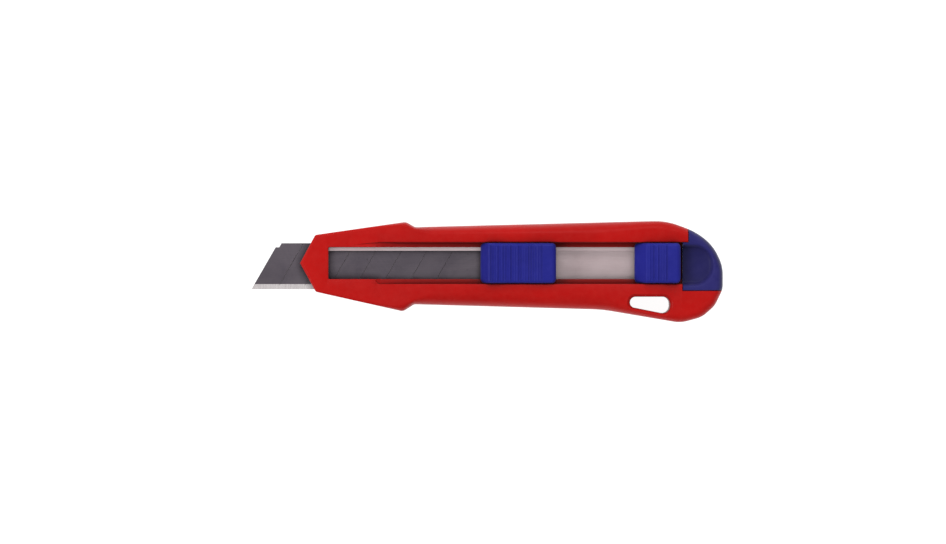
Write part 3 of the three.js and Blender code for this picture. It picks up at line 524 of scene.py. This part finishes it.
join(cap, block(tongue_x, JOINT_X + 2, clip_y + 0.7, clip_y + 1.5, CHANNEL_Z + GAP, rail[4] - GAP),
     block(tongue_x, JOINT_STEP_X + 2, WALL_HIGH + GAP, WALL_HIGH + 2.2, CHANNEL_Z + GAP, LEDGE_Z - GAP))

# ================= buttons =================


def profile_block(tops, half_at, z_low, edge_r, sides=12):
    """Loft along X with a flat bottom, upright sides and rounded upper edges. tops lists (x, top height,
    groove), and the groove runs out over the rounded edges."""
    rows = []
    for x, top, groove in tops:
        half = half_at(x)
        r = min(edge_r, (top - z_low) * 0.8)
        arc = [math.pi / 2 * k / sides for k in range(sides + 1)]
        side = [(half - r * (1 - math.cos(a)), top - r + r * math.sin(a) - groove * math.sin(a) ** 4)
                for a in arc]
        side.append(((half - r) * 0.42, top - groove))
        ring = [(x, -half, z_low)] + [(x, -y, z) for y, z in side]
        rows.append(ring + [(x, y, z) for y, z in reversed(side)] + [(x, half, z_low)])
    n = len(rows[0])
    faces = []
    for s in range(len(rows) - 1):
        faces += [(s * n + i, (s + 1) * n + i, (s + 1) * n + (i + 1) % n, s * n + (i + 1) % n)
                  for i in range(n)]
    faces.append(tuple(range(n)))
    faces.append(tuple(range((len(rows) - 1) * n, len(rows) * n))[::-1])
    return make("loft", [p for ring in rows for p in ring], faces)


RIB_PITCH, RIB_DEPTH = 1.0, 0.19
HOOK = 0.5                     # how far the foot of a button's stem reaches under the carrier
STEM_Y = (-2.0, 3.6)
CARRIER_TOP = local("blade_carrier")[5]
LEG_Z = local("blade_lock_spring")[4] + 0.72


def button(node, ramp, tail, dip, stem, leg_x):
    """Hollow thumb slider: a ramp, a ribbed grip that dips in the middle, a rounded tail, a stem with a
    hooked foot, and a leg over the lock spring."""
    x0, x1, y0, y1, _, top = local(node)
    z0 = TRACK_Z + 1.1
    front_r, rear_r, edge_r, tail_r = 1.5, 1.7, 1.3, 1.9
    toe, toe_r, crest = 1.6, 0.5, 0.2
    start, end = x0 + ramp + 0.4, x1 - tail
    ribs = round((end - start) / RIB_PITCH)
    step = (end - start) / ribs

    def smooth_top(x):
        if x < start:
            t = (x - x0) / ramp
            h = z0 + toe + (top - crest - z0 - toe) * min(t, 1)
            h -= toe_r * max(0, 1 - (x - x0) / toe_r) ** 2
            return h + crest * max(0, min(1, (t - 0.93) / 0.2))
        if x <= end:
            return top - dip * math.sin(math.pi * (x - start) / (end - start)) ** 2
        t = max(0, (x - (x1 - tail_r)) / tail_r)
        return top - tail_r * (1 - math.sqrt(max(0, 1 - t * t)))

    def groove(x):
        if not start < x < end:
            return 0
        wave = 0.5 - 0.5 * math.cos(2 * math.pi * (x - start) / step)
        valley = min(1, max(0, (wave - 0.25) / 0.45))
        worn = 0.72 + 0.28 * math.sin(1.7 * int((x - start) / step) ** 1.3 + x0)
        return RIB_DEPTH * worn * valley * valley * (3 - 2 * valley)

    def half(x):
        h = (y1 - y0) / 2
        for r, d in ((front_r, x - x0), (rear_r, x1 - x)):
            if d < r:
                h -= r - math.sqrt(max(0, r * r - (r - d) ** 2))
        return h

    straight = x1 - rear_r - x0 - front_r
    steps = int(straight / 0.1)
    xs = [x0 + front_r * (1 - math.cos(math.pi / 2 * k / 9)) for k in range(9)]
    xs += [x0 + front_r + straight * k / steps for k in range(steps)]
    xs += [x1 - rear_r * math.cos(math.pi / 2 * k / 12) for k in range(13)]
    solid = profile_block([(x, smooth_top(x), groove(x)) for x in xs], half, z0, edge_r)
    wall, end_wall, hollow = 1.8, 2.0, 2.2
    cut(solid, block(start, x1 - end_wall, y0 + wall, y1 - wall, z0 - 1, z0 + hollow))
    foot, (stem_low, stem_high), into = bar[5] + 1.1, STEM_Y, z0 + 3.01
    join(solid, block(*stem, stem_low, stem_high, foot, into),
         block(stem[0] - HOOK, stem[1] + HOOK, stem_low + 0.01, stem_high - 0.01, foot + 0.005,
               CARRIER_TOP - 0.9),
         block(leg_x - 1, leg_x + 1, -SLOT + 0.5, stem_low - 0.2, LEG_Z, into + 0.01))
    return solid


blade_tooth = local("blade_carrier")[0] + 13.8
bar_tooth = local("bar_carrier")[0] + 2.4
front_button = button("blade_button", 3.1, 5.2, 0.7, (blade_tooth - 3.4, blade_tooth + 6.2), blade_tooth)
rear_button = button("bar_button", 4.4, 4.8, 0.3, (bar_tooth + 2.6, bar_tooth + 8.0), bar_tooth)

# ================= blade and stabiliser bar =================

TIP_X, TAIL_X, _, SPINE_Y, BLADE_Z, BLADE_TOP = local("blade")
LEAN = math.tan(math.pi / 6)   # slope of the tip, the tail and the score lines
PITCH, SCORES = 10, 7
GRIND = 2.0                    # width of the ground edge
HOLE_X, HOLE_Y, HOLE_R = TAIL_X - 6.6, -1.2, 2.9


def scored_blade():
    """Blade with slanted ends, a peg hole, an edge ground on both faces and score lines on the upper one."""
    def at(y, along=0.0):
        return TIP_X + (y - EDGE_Y) * LEAN + along, y

    step_y, step_x, soft, flare = SPINE_Y - 1.6, 1.4, 0.045, 0.3
    tail_edge = TAIL_X - TIP_X - (SPINE_Y - EDGE_Y) * LEAN
    plan = [(*at(EDGE_Y), 0.03), (*at(EDGE_Y, tail_edge), 0.1), (TAIL_X, SPINE_Y, 0.1),
            (*at(SPINE_Y, step_x), 0.1), (*at(step_y, step_x), 0.1), (*at(step_y), 0.1)]
    inner, outer = rounded_loop(plan, -soft, 3), rounded_loop(plan, 0, 3)
    solid = stack([(inner, BLADE_Z), (outer, BLADE_Z + soft), (outer, BLADE_TOP - soft), (inner, BLADE_TOP)])
    cut(solid, turned(HOLE_X, HOLE_Y, [(HOLE_R + flare, BLADE_Z - 0.2), (HOLE_R, BLADE_Z + 0.06),
                                       (HOLE_R, BLADE_TOP - 0.06), (HOLE_R + flare, BLADE_TOP + 0.2)], 64))
    mid, keen = (BLADE_Z + BLADE_TOP) / 2, 0.03
    for z, out in ((BLADE_TOP, 1), (BLADE_Z, -1)):
        cut(solid, swept_x([(EDGE_Y - 1, mid + out * keen), (EDGE_Y, mid + out * keen), (EDGE_Y + GRIND, z),
                            (EDGE_Y + GRIND, z + out), (EDGE_Y - 1, z + out)], TIP_X - 5, TAIL_X + 5))
    depth, half, root = (BLADE_TOP - BLADE_Z) * 0.16, 0.13, 0.05
    for k in range(1, SCORES + 1):
        x0 = TIP_X + k * PITCH
        lo, hi = EDGE_Y - 1, SPINE_Y + 1
        verts = []
        for x, y in ((x0 - LEAN, lo), (x0 + (hi - EDGE_Y) * LEAN, hi)):
            verts += [(x - half * 1.6, y, BLADE_TOP + depth * 0.6),
                      (x + half * 1.6, y, BLADE_TOP + depth * 0.6),
                      (x + root, y, BLADE_TOP - depth), (x - root, y, BLADE_TOP - depth)]
        faces = [(0, 1, 2, 3), (7, 6, 5, 4)] + [(i, i + 4, (i + 1) % 4 + 4, (i + 1) % 4) for i in range(4)]
        cut(solid, make("score", verts, faces))
    return solid


blade = scored_blade()


def bent_bar():
    """Sheet folded into a floor under the blade, a side wall and a lip over it, with a slanted front end."""
    x0, x1, low, out_y, z0, z_top = bar
    sheet, slant, far_z = 0.8, 2.5, 30
    floor_top, wall_in, lip_y, lip_z = z0 + 1.0, out_y - sheet, 4.8, z_top - sheet
    section = [(out_y, z0, 0.8), (out_y, z_top, 0.8), (lip_y, z_top, 0.12), (lip_y, lip_z, 0.12),
               (wall_in, lip_z, 0.08), (wall_in, floor_top, 0.08), (low, floor_top, 0.12), (low, z0, 0.12)]
    solid = swept_x(rounded_loop(section, 0, 6), x0, x1)
    high_corner = [(x0 - 1, out_y - slant * 1.4 - 1.4), (x0 + slant + 1, out_y + 1.4), (x0 - 1, out_y + 1.4)]
    low_corner = [(x0 - 1, low + slant + 1), (x0 - 1, low - 1), (x0 + slant + 1, low - 1)]
    for corner in (high_corner, low_corner):
        cut(solid, stack([(corner, -5), (corner, far_z)]))
    lip_cut = [(x0 - 1, lip_y - 1), (x0 + slant * 1.5, lip_y - 1), (x0 + slant * 1.2, lip_y + 0.3),
               (x0 + slant * 0.6, lip_y + 1.2), (x0 + slant * 0.6, out_y - 1.2), (x0 + slant, out_y + 1),
               (x0 - 1, out_y + 1)]
    cut(solid, stack([(lip_cut, floor_top + 0.2), (lip_cut, far_z)]))
    rivet_head, rivet_r = 1.75, 1.05
    for i in (1, 2):
        cx, cy, _ = middle(f"bar_rivet_{i}")
        cut(solid, turned(cx, cy, [(rivet_head, z0 - 1), (rivet_head, z0), (rivet_r, z0 + 0.6),
                                   (rivet_r, floor_top + 1)], 32))
    return solid


stabiliser = bent_bar()

# ================= screws =================


def screw(node, head_h):
    """Screw with its head toward the back, a cross slot and a thread."""
    cx, cy, z1 = middle(node)
    z0, r = local(node)[4], HEAD_R
    crest, root, pitch = 1.2, 0.98, 0.5
    profile = [(r * 0.55, z0), (r * 0.8, z0 + 0.06), (r * 0.95, z0 + 0.22), (r, z0 + 0.45),
               (r, z0 + head_h - 0.05), (r - 0.05, z0 + head_h), (crest, z0 + head_h)]
    for k in range(int((z1 - 0.6 - z0 - head_h) / pitch)):
        z = z0 + head_h + 0.1 + k * pitch
        profile += [(crest, z), (root, z + pitch / 2)]
    profile += [(1.1, z1 - 0.5), (0.7, z1)]
    solid = turned(cx, cy, profile, 40)
    arm, slot_half, mouth = r * 0.58, 0.28, 0.05
    for wide, deep in ((arm, slot_half), (slot_half, arm)):
        floor_z = z0 + head_h * 0.62 + (0.01 if wide > deep else 0)
        cut(solid, stack([(box_loop(cx - w, cx + w, cy - d, cy + d), z)
                          for w, d, z in ((wide + mouth, deep + mouth, z0 - 0.2), (wide, deep, z0 + 0.05),
                                          (wide * 0.62, deep * 0.8, floor_z))]))
    return solid


# ================= lock springs =================

# Thickness, half length of the pad, width of the arm, length of the root, half length of the tooth.
LEAF, LEAF_PAD, LEAF_ARM, LEAF_ROOT, TOOTH_HALF = 0.4, 1.9, 2.4, 4.6, 0.8
NOTCH = (rail[3] - WALL_LOW - GAP) * 0.59


def lock_spring(node):
    """Leaf spring: a root under its rivet, a narrow arm, and a pad with the lock tooth."""
    x0, x1, y0, y1, z0, z1 = local(node)
    t, top, soft = x0 + LEAF_PAD, z0 + LEAF, 0.06

    def strip(xa, xb, yb, slack):
        section = [(y0 + slack, z0 + slack, soft), (yb, z0 + slack, soft), (yb, top - slack, soft),
                   (y0 + slack, top - slack, soft)]
        return swept_x(rounded_loop(section, 0, 2), xa, xb, round((xb - xa) / 0.3))

    leaf = strip(x0, x1, y0 + LEAF_ARM, 0)
    join(leaf, strip(x1 - LEAF_ROOT, x1 - 0.002, y1, 0.003), strip(x0 + 0.002, t + LEAF_PAD, y1, 0.003))
    tooth = (t - TOOTH_HALF, t + TOOTH_HALF, rail[3] - NOTCH + GAP, rail[3] - GAP)
    tip = (tooth[0] + 0.15, tooth[1] - 0.15, tooth[2] + 0.1, tooth[3] - 0.1)
    join(leaf, stack([(box_loop(*tooth), z0 + 0.1), (box_loop(*tooth), z1 - 0.2), (box_loop(*tip), z1)]))
    return cut(leaf, turned(x1 - 2.2, y1 - 1.35, [(1.05, z0 - 1), (1.05, top + 1)], 32))


def bend_line(node):
    """Where a lock spring starts to bend, at its root, and where its pad goes down with the button."""
    x0, x1, y0, _, z0, _ = local(node)
    return [ORIGIN + Vector((x, y0, z0)) * MM for x in (x1 - LEAF_ROOT, x0 + 2 * LEAF_PAD + 0.3)]


# ================= materials =================


class Nodes:
    """Short way to write a procedural material."""

    def __init__(self, name):
        self.mat = bpy.data.materials.new(name)
        self.mat.use_nodes = True
        self.tree = self.mat.node_tree
        self.shader = self.tree.nodes["Principled BSDF"]
        self.coords = self.add("ShaderNodeTexCoord").outputs["Object"]

    def add(self, kind, **values):
        node = self.tree.nodes.new(kind)
        for key, value in values.items():
            setattr(node, key, value)
        return node

    def link(self, a, b):
        self.tree.links.new(a, b)

    def stretched(self, scale, turn=(0, 0, 0)):
        node = self.add("ShaderNodeMapping")
        node.inputs["Scale"].default_value = scale
        node.inputs["Rotation"].default_value = turn
        self.link(self.coords, node.inputs["Vector"])
        return node.outputs["Vector"]

    def noise(self, scale, detail=3.0, rough=0.55, vector=None, distortion=0.0):
        node = self.add("ShaderNodeTexNoise")
        node.inputs["Scale"].default_value = scale
        node.inputs["Detail"].default_value = detail
        node.inputs["Roughness"].default_value = rough
        node.inputs["Distortion"].default_value = distortion
        self.link(vector or self.coords, node.inputs["Vector"])
        return node.outputs["Fac"]

    def ranged(self, value, low, high, to_low=0.0, to_high=1.0):
        node = self.add("ShaderNodeMapRange")
        for key, v in (("From Min", low), ("From Max", high), ("To Min", to_low), ("To Max", to_high)):
            node.inputs[key].default_value = v
        self.link(value, node.inputs["Value"])
        return node.outputs["Result"]

    def math(self, operation, a, b):
        node = self.add("ShaderNodeMath", operation=operation)
        for socket, v in zip(node.inputs, (a, b)):
            if isinstance(v, (int, float)):
                socket.default_value = v
            else:
                self.link(v, socket)
        return node.outputs[0]

    def mix(self, factor, a, b):
        node = self.add("ShaderNodeMix", data_type="RGBA")
        for socket, v in ((node.inputs[0], factor), (node.inputs[6], a), (node.inputs[7], b)):
            if isinstance(v, (int, float)):
                socket.default_value = v
            elif isinstance(v, tuple):
                socket.default_value = (*v, 1)
            else:
                self.link(v, socket)
        return node.outputs[2]

    def edges(self, radius):
        """1 at sharp and rounded edges, 0 on flats."""
        bevel = self.add("ShaderNodeBevel", samples=4)
        bevel.inputs["Radius"].default_value = radius
        plain = self.add("ShaderNodeNewGeometry").outputs["Normal"]
        dot = self.add("ShaderNodeVectorMath", operation="DOT_PRODUCT")
        self.link(bevel.outputs[0], dot.inputs[0])
        self.link(plain, dot.inputs[1])
        return self.ranged(dot.outputs["Value"], 0.98, 0.80)

    def painted_recess_shade(self, reach, darkest):
        """Painted shade: 1 in the open, falling to `darkest` in corners and recesses."""
        node = self.add("ShaderNodeAmbientOcclusion", samples=6)
        node.inputs["Distance"].default_value = reach
        return self.ranged(node.outputs["AO"], 0.45, 0.98, darkest, 1.0)

    def shade(self, colour, factor):
        node = self.add("ShaderNodeVectorMath", operation="SCALE")
        self.link(colour, node.inputs[0])
        self.link(factor, node.inputs["Scale"])
        return node.outputs["Vector"]

    def axis(self, name):
        node = self.add("ShaderNodeSeparateXYZ")
        self.link(self.coords, node.inputs[0])
        return node.outputs[name]

    def bump(self, height, strength, distance, under=None):
        node = self.add("ShaderNodeBump")
        node.inputs["Strength"].default_value = strength
        node.inputs["Distance"].default_value = distance
        self.link(height, node.inputs["Height"])
        if under:
            self.link(under, node.inputs["Normal"])
        return node.outputs["Normal"]

    def finish(self, colour, rough, normal, **constants):
        self.link(colour, self.shader.inputs["Base Color"])
        self.link(rough, self.shader.inputs["Roughness"])
        self.link(normal, self.shader.inputs["Normal"])
        for key, value in constants.items():
            self.shader.inputs[key.replace("_", " ")].default_value = value
        return self.mat


def srgb(r, g, b):
    """Colour of a screen value, 0 to 255, in the linear light that a shader takes."""
    def lin(c):
        c /= 255
        return c / 12.92 if c <= 0.04045 else ((c + 0.055) / 1.055) ** 2.4

    return lin(r), lin(g), lin(b)


def lacquer(name, colour, deep, worn, rough, grain=1700.0, gloss=0.1, dust=0.08, painted_low_shade=None, inside=None):
    """Powder lacquer or moulded plastic with a fine grain, faint mottling, edges worn lighter and painted shade
    in corners and recesses. The low tone argument is painted shade by height: (low z, high z, tone low, tone
    high). inside is painted shade in a channel: (front x, middle y, half width, top z, tone)."""
    m = Nodes(name)
    cloud = m.ranged(m.noise(38, 4), 0.35, 0.68)
    fine = m.noise(420, 3)
    base = m.mix(cloud, deep, colour)
    base = m.mix(m.ranged(fine, 0.35, 0.7, 0.0, 0.10), base, worn)
    # Edge wear: edges worn lighter.
    wear_and_painted_highlight = m.math("MULTIPLY", m.edges(0.0003), m.ranged(m.noise(260, 4, 0.65), 0.42, 0.62, 0.08, 0.55))
    # Painted shade: the colour is darkened in corners and recesses, where shade falls.
    base = m.shade(m.mix(wear_and_painted_highlight, base, worn), m.painted_recess_shade(0.006, 0.35))
    # Painted shade: the colour darkened below a given height, used for the floor of the thumb dish.
    if painted_low_shade:
        base = m.shade(base, m.ranged(m.axis("Z"), *painted_low_shade))
    # Painted shade: the channel's floor and walls are drawn darker than the faces round them.
    if inside:
        front_x, centre, half, height, tone = inside
        side_fade, top_fade, front_fade, floor_fade = 0.0002, 0.0004, 0.005, (0.0025, 0.0035)
        across = m.math("ABSOLUTE", m.math("SUBTRACT", m.axis("Y"), centre), 0)
        within = m.math("MULTIPLY", m.ranged(across, half + side_fade, half),
                        m.ranged(m.axis("Z"), height + top_fade, height))
        within = m.math("MULTIPLY", within, m.ranged(m.axis("X"), front_x, front_x + front_fade))
        within = m.math("MULTIPLY", within, m.ranged(m.axis("Z"), *floor_fade))
        base = m.shade(base, m.ranged(within, 0.0, 1.0, 1.0, tone))
    handled = m.ranged(m.noise(70, 5, 0.6), 0.35, 0.7, rough - 0.05, rough + 0.07)
    handled = m.math("ADD", handled, m.ranged(fine, 0.3, 0.7, -0.02, 0.03))
    speck = m.bump(m.noise(grain, 2, 0.5), 0.22, 0.00006)
    normal = m.bump(m.noise(240, 2), 0.10, 0.00012, speck)
    return m.finish(base, handled, normal, Specular_IOR_Level=gloss, Sheen_Weight=dust,
                    Sheen_Roughness=0.45, Sheen_Tint=(1.0, 0.93, 0.9, 1))


def steel(name, colour, dark, rough, brush, grime, edge=(0.55, 0.54, 0.55), metal=1.0, reach=0.0022,
          wear_and_painted_highlight=None):
    """Rolled or brushed steel: drawn lines, cloudy oxide, edges worn lighter and painted shade in corners and
    recesses. The highlight band argument is a painted highlight across Y: (low y, high y, tone low, tone high)."""
    m = Nodes(name)
    drawn = m.noise(1.0, 4, 0.7, m.stretched(brush))
    cloud = m.noise(90, 5, 0.62)
    base = m.mix(m.ranged(cloud, 0.4, 0.72, 0.0, grime * 2), colour, dark)
    base = m.mix(m.ranged(drawn, 0.35, 0.7, 0.0, 0.22), base, dark)
    base = m.mix(m.math("MULTIPLY", m.edges(0.0003), 0.5), base, edge)
    # Painted shade: the colour is darkened in corners, recesses and under the bar's lip.
    base = m.shade(base, m.painted_recess_shade(reach, 0.45))
    # Painted highlight: a band across Y drawn lighter.
    if wear_and_painted_highlight:
        base = m.shade(base, m.ranged(m.axis("Y"), *wear_and_painted_highlight))
    shine = m.math("ADD", m.ranged(drawn, 0.3, 0.7, rough - 0.05, rough + 0.07),
                   m.ranged(cloud, 0.4, 0.75, 0.0, 0.08))
    normal = m.bump(drawn, 0.12, 0.00002, m.bump(cloud, 0.06, 0.00008))
    return m.finish(base, shine, normal, Metallic=metal, Anisotropic=0.4)


# Painted shade: the track and the thumb dish are drawn darker than the faces round them.
PAINTED_RECESS_SHADE = 0.68             # tone of the track and the thumb dish against the faces round them
track_painted_shade = (ORIGIN.x + 27 * MM, ORIGIN.y, (TRACK - 0.1) * MM, ORIGIN.z + (TRACK_Z + 0.35) * MM,
                PAINTED_RECESS_SHADE)
# Painted shade in the thumb dish of the end cap.
dish_painted_shade = ((dish_z + 0.2) * MM, (dish_z + 1.0) * MM, PAINTED_RECESS_SHADE, 1.0)
red = lacquer("red_lacquer", srgb(174, 11, 8), srgb(160, 8, 6), srgb(186, 52, 45), 0.38, gloss=0.08,
              inside=track_painted_shade)
blue = lacquer("blue_nylon", srgb(31, 34, 131), srgb(25, 28, 116), srgb(60, 58, 154), 0.42, 1400.0, dust=0.05)
cap_blue = lacquer("cap_blue_nylon", srgb(36, 33, 98), srgb(31, 29, 86), srgb(70, 68, 124), 0.44, 1300.0,
                   dust=0.16, painted_low_shade=dish_painted_shade)


def blade_steel():
    """Blade steel: dull oiled flats with lengthwise drawn lines, a ground edge with lines across it drawn
    lighter, partly for its fresh grind and partly as a painted reflection, and painted shade in recesses.
    """
    m = Nodes("blade_steel")
    drawn = m.noise(1.0, 5, 0.7, m.stretched((90, 5200, 5200)))
    ground = m.noise(1.0, 4, 0.65, m.stretched((6500, 160, 400)))
    cloud = m.noise(55, 6, 0.62, distortion=0.6)
    y = m.axis("Y")
    line, waver, soft = (EDGE_Y + GRIND) * MM + ORIGIN.y, 0.00004, 0.00002
    bevel = m.ranged(m.math("ADD", y, m.ranged(ground, 0, 1, -waver, waver)), line + soft, line - soft)
    flat = m.mix(m.ranged(cloud, 0.38, 0.70), srgb(104, 97, 104), srgb(84, 78, 86))
    flat = m.mix(m.ranged(drawn, 0.35, 0.70, 0.0, 0.25), flat, srgb(66, 61, 68))
    spots = m.ranged(m.noise(480, 2, 0.5), 0.70, 0.78, 0.0, 0.5)
    flat = m.mix(spots, flat, srgb(58, 52, 56))
    # The ground edge is drawn much lighter than the flats: partly its fresh grind, partly a painted reflection of
    # the light it faces.
    ground_and_painted_reflection = m.mix(m.ranged(ground, 0.3, 0.7), srgb(232, 226, 226), srgb(196, 188, 190))
    base = m.mix(bevel, flat, ground_and_painted_reflection)
    base = m.mix(m.math("MULTIPLY", m.edges(0.0002), 0.35), base, srgb(190, 184, 186))
    # Painted shade: the blade darkened in recesses and by the window's front wall.
    base = m.shade(base, m.painted_recess_shade(0.0035, 0.3))
    rough_flat = m.math("ADD", m.ranged(drawn, 0.3, 0.7, 0.26, 0.38), m.ranged(cloud, 0.4, 0.7, 0.0, 0.10))
    rough_mix = m.math("ADD", rough_flat, m.math("MULTIPLY", bevel, -0.06))
    normal = m.bump(drawn, 0.10, 0.00002, m.bump(m.math("MULTIPLY", ground, bevel), 0.14, 0.00002))
    return m.finish(base, rough_mix, normal, Metallic=1.0, Anisotropic=0.35)


blade_look = blade_steel()
# Painted highlight: the bar's lip is drawn up to a quarter lighter than its floor.
bar_look = steel("bar_steel", srgb(194, 178, 180), srgb(166, 150, 152), 0.36, (70, 3200, 3200), 0.2,
                 srgb(222, 212, 212), metal=0.8, reach=0.0006,
                 wear_and_painted_highlight=(ORIGIN.y + 4.2 * MM, ORIGIN.y + 4.7 * MM, 1.0, 1.25))      # the lip is the brightest
carrier_look = steel("carrier_steel", srgb(120, 118, 124), srgb(78, 76, 82), 0.42, (60, 2600, 2600), 0.4)
spring_look = steel("spring_steel", srgb(190, 186, 188), srgb(140, 136, 140), 0.3, (50, 3600, 3600), 0.25)
screw_look = steel("fastener_steel", srgb(172, 170, 174), srgb(116, 114, 120), 0.33, (2200, 2200, 300), 0.3)

# ================= placing the pieces =================


def place(obj, name, look, body, nodes, smooth=32, bends=None):
    """Put a finished piece into the row frame, within the CAD's box, and say what it is. Edges sharper than
    smooth degrees stay sharp. A piece given bends has its transform baked in and is attached to no body; the
    body and what bends holds are then not used."""
    for v in obj.data.vertices:
        at = v.co * MM + ORIGIN
        v.co = [min(max(at[k], cad_low[k]), cad_high[k]) for k in range(3)]
    mesh = obj.data
    bm = bmesh.new()
    bm.from_mesh(mesh)
    bmesh.ops.remove_doubles(bm, verts=bm.verts, dist=2e-6)
    bmesh.ops.dissolve_degenerate(bm, edges=bm.edges, dist=1e-6)
    bm.to_mesh(mesh)
    bm.free()
    mesh.shade_smooth()
    mesh.set_sharp_from_angle(angle=math.radians(smooth))
    mesh.materials.clear()
    mesh.materials.append(look)
    obj.name = name
    mesh.name = name
    if bends:
        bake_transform(obj)
    else:
        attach(obj, body)
    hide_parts(*nodes)
    return obj


def keep_cad(node, look):
    """Give a CAD piece a look."""
    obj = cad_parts[node]
    obj.data.materials.clear()
    obj.data.materials.append(look)


place(front, "shell_front", red, "housing", ["front_shell"])
place(back, "shell_back", red, "housing", ["back_shell"])
place(cap, "tail_cap_moulding", cap_blue, "tail_cap", ["end_cap"])
place(front_button, "front_thumb_slider", blue, "blade_thumb_button", ["blade_button"])
place(rear_button, "rear_thumb_slider", blue, "stabiliser_thumb_button", ["bar_button"])
place(blade, "snap_off_blade", blade_look, "blade_slider", ["blade"], 12)
place(stabiliser, "folded_bar", bar_look, "stabiliser", ["stabiliser_bar"])
for i in range(1, 7):
    place(screw(f"shell_screw_{i}", 1.5), f"body_screw_{i}", screw_look, "housing",
          [f"shell_screw_{i}"])
for i in (1, 2, 3):
    place(screw(f"rail_screw_{i}", 1.2), f"strip_screw_{i}", screw_look, "housing",
          [f"rail_screw_{i}"])
for node in ("detent_rail", "blade_carrier", "bar_carrier"):
    keep_cad(node, carrier_look)
keep_cad("cap_clip", spring_look)
for kind, carrier, thumb in (("blade", "blade_slider", "blade_thumb_button"),
                             ("bar", "stabiliser", "stabiliser_thumb_button")):
    node = f"{kind}_lock_spring"
    place(lock_spring(node), f"{kind}_lock_leaf", spring_look, carrier, [node],
          bends=(thumb, *bend_line(node)))
for node in ("blade_peg", "blade_spring_rivet", "bar_rivet_1", "bar_rivet_2", "bar_spring_rivet"):
    keep_cad(node, screw_look)

# ================= floor, light and camera =================

mid = (cad_low + cad_high) / 2


def sweep():
    """Pale floor that curves up into a backdrop far behind."""
    half, bend_y, radius, top, drop = 6.0, 3.0, 2.0, 5.0, 0.0002
    section = [(-half, 0.0), (bend_y, 0.0)]
    section += [(bend_y + radius * math.sin(a), radius - radius * math.cos(a))
                for a in (math.pi / 2 * k / 12 for k in range(1, 13))] + [(bend_y + radius, top)]
    verts = [(x, y, z - drop) for x in (-half, half) for y, z in section]
    n = len(section)
    faces = [(i, n + i, n + i + 1, i + 1) for i in range(n - 1)]
    mesh = bpy.data.meshes.new("floor")
    mesh.from_pydata(verts, [], faces)
    mesh.shade_smooth()
    obj = bpy.data.objects.new("floor", mesh)
    bpy.context.scene.collection.objects.link(obj)
    return obj


def pale_paper():
    """Matt paper, lit from inside so that it stays pale."""
    m = Nodes("pale_paper")
    tone = m.mix(m.ranged(m.noise(3, 3), 0.3, 0.7), (0.27, 0.27, 0.27), (0.29, 0.29, 0.29))
    normal = m.bump(m.noise(900, 2), 0.05, 0.00004)
    return m.finish(tone, m.ranged(m.noise(20, 2), 0.3, 0.7, 0.85, 0.95), normal, Specular_IOR_Level=0.1,
                    Emission_Strength=0.95, Emission_Color=(1, 1, 1, 1))


floor = sweep()
floor.data.materials.append(pale_paper())


def lamp(name, at, aim, size, power):
    """Round area light aimed at a point."""
    light = bpy.data.lights.new(name, "AREA")
    light.shape = "DISK"
    light.size = size
    light.energy = power
    obj = bpy.data.objects.new(name, light)
    obj.location = at
    obj.rotation_euler = (Vector(aim) - Vector(at)).to_track_quat("-Z", "Y").to_euler()
    bpy.context.scene.collection.objects.link(obj)


lamp("key", (0.1, 0.95, 1.5), mid, 0.9, 7.5)
lamp("fill", (-1.1, -0.1, 1.2), mid, 0.8, 9)


def studio():
    """White surroundings, dimmer near the horizon than overhead."""
    world = bpy.data.worlds.new("studio")
    world.use_nodes = True
    sky = world.node_tree
    around = sky.nodes.new("ShaderNodeTexCoord")
    split = sky.nodes.new("ShaderNodeSeparateXYZ")
    fade = sky.nodes.new("ShaderNodeMapRange")
    fade.interpolation_type = "SMOOTHSTEP"
    for key, value in (("From Min", 0.05), ("From Max", 0.75), ("To Min", 0.3), ("To Max", 0.8)):
        fade.inputs[key].default_value = value
    sky.links.new(around.outputs["Generated"], split.inputs[0])
    sky.links.new(split.outputs["Z"], fade.inputs["Value"])
    sky.links.new(fade.outputs["Result"], sky.nodes["Background"].inputs["Strength"])
    sky.nodes["Background"].inputs["Color"].default_value = (1, 1, 1, 1)
    return world


bpy.context.scene.world = studio()

FIELD_WIDTH = 0.369            # what the picture spans at the middle of the knife, in metres
LENS, SENSOR = 200.0, 36.0
CAMERA_X, CAMERA_Y = -0.0054, -0.0002
camera_data = bpy.data.cameras.new("camera")
camera_data.lens = LENS
camera_data.sensor_width = SENSOR
camera = bpy.data.objects.new("camera", camera_data)
bpy.context.scene.collection.objects.link(camera)
camera.location = (CAMERA_X, CAMERA_Y, mid.z + FIELD_WIDTH * LENS / SENSOR)
camera.rotation_euler = (0, 0, 0)
bpy.context.scene.camera = camera
bpy.context.scene.view_settings.view_transform = "Standard"
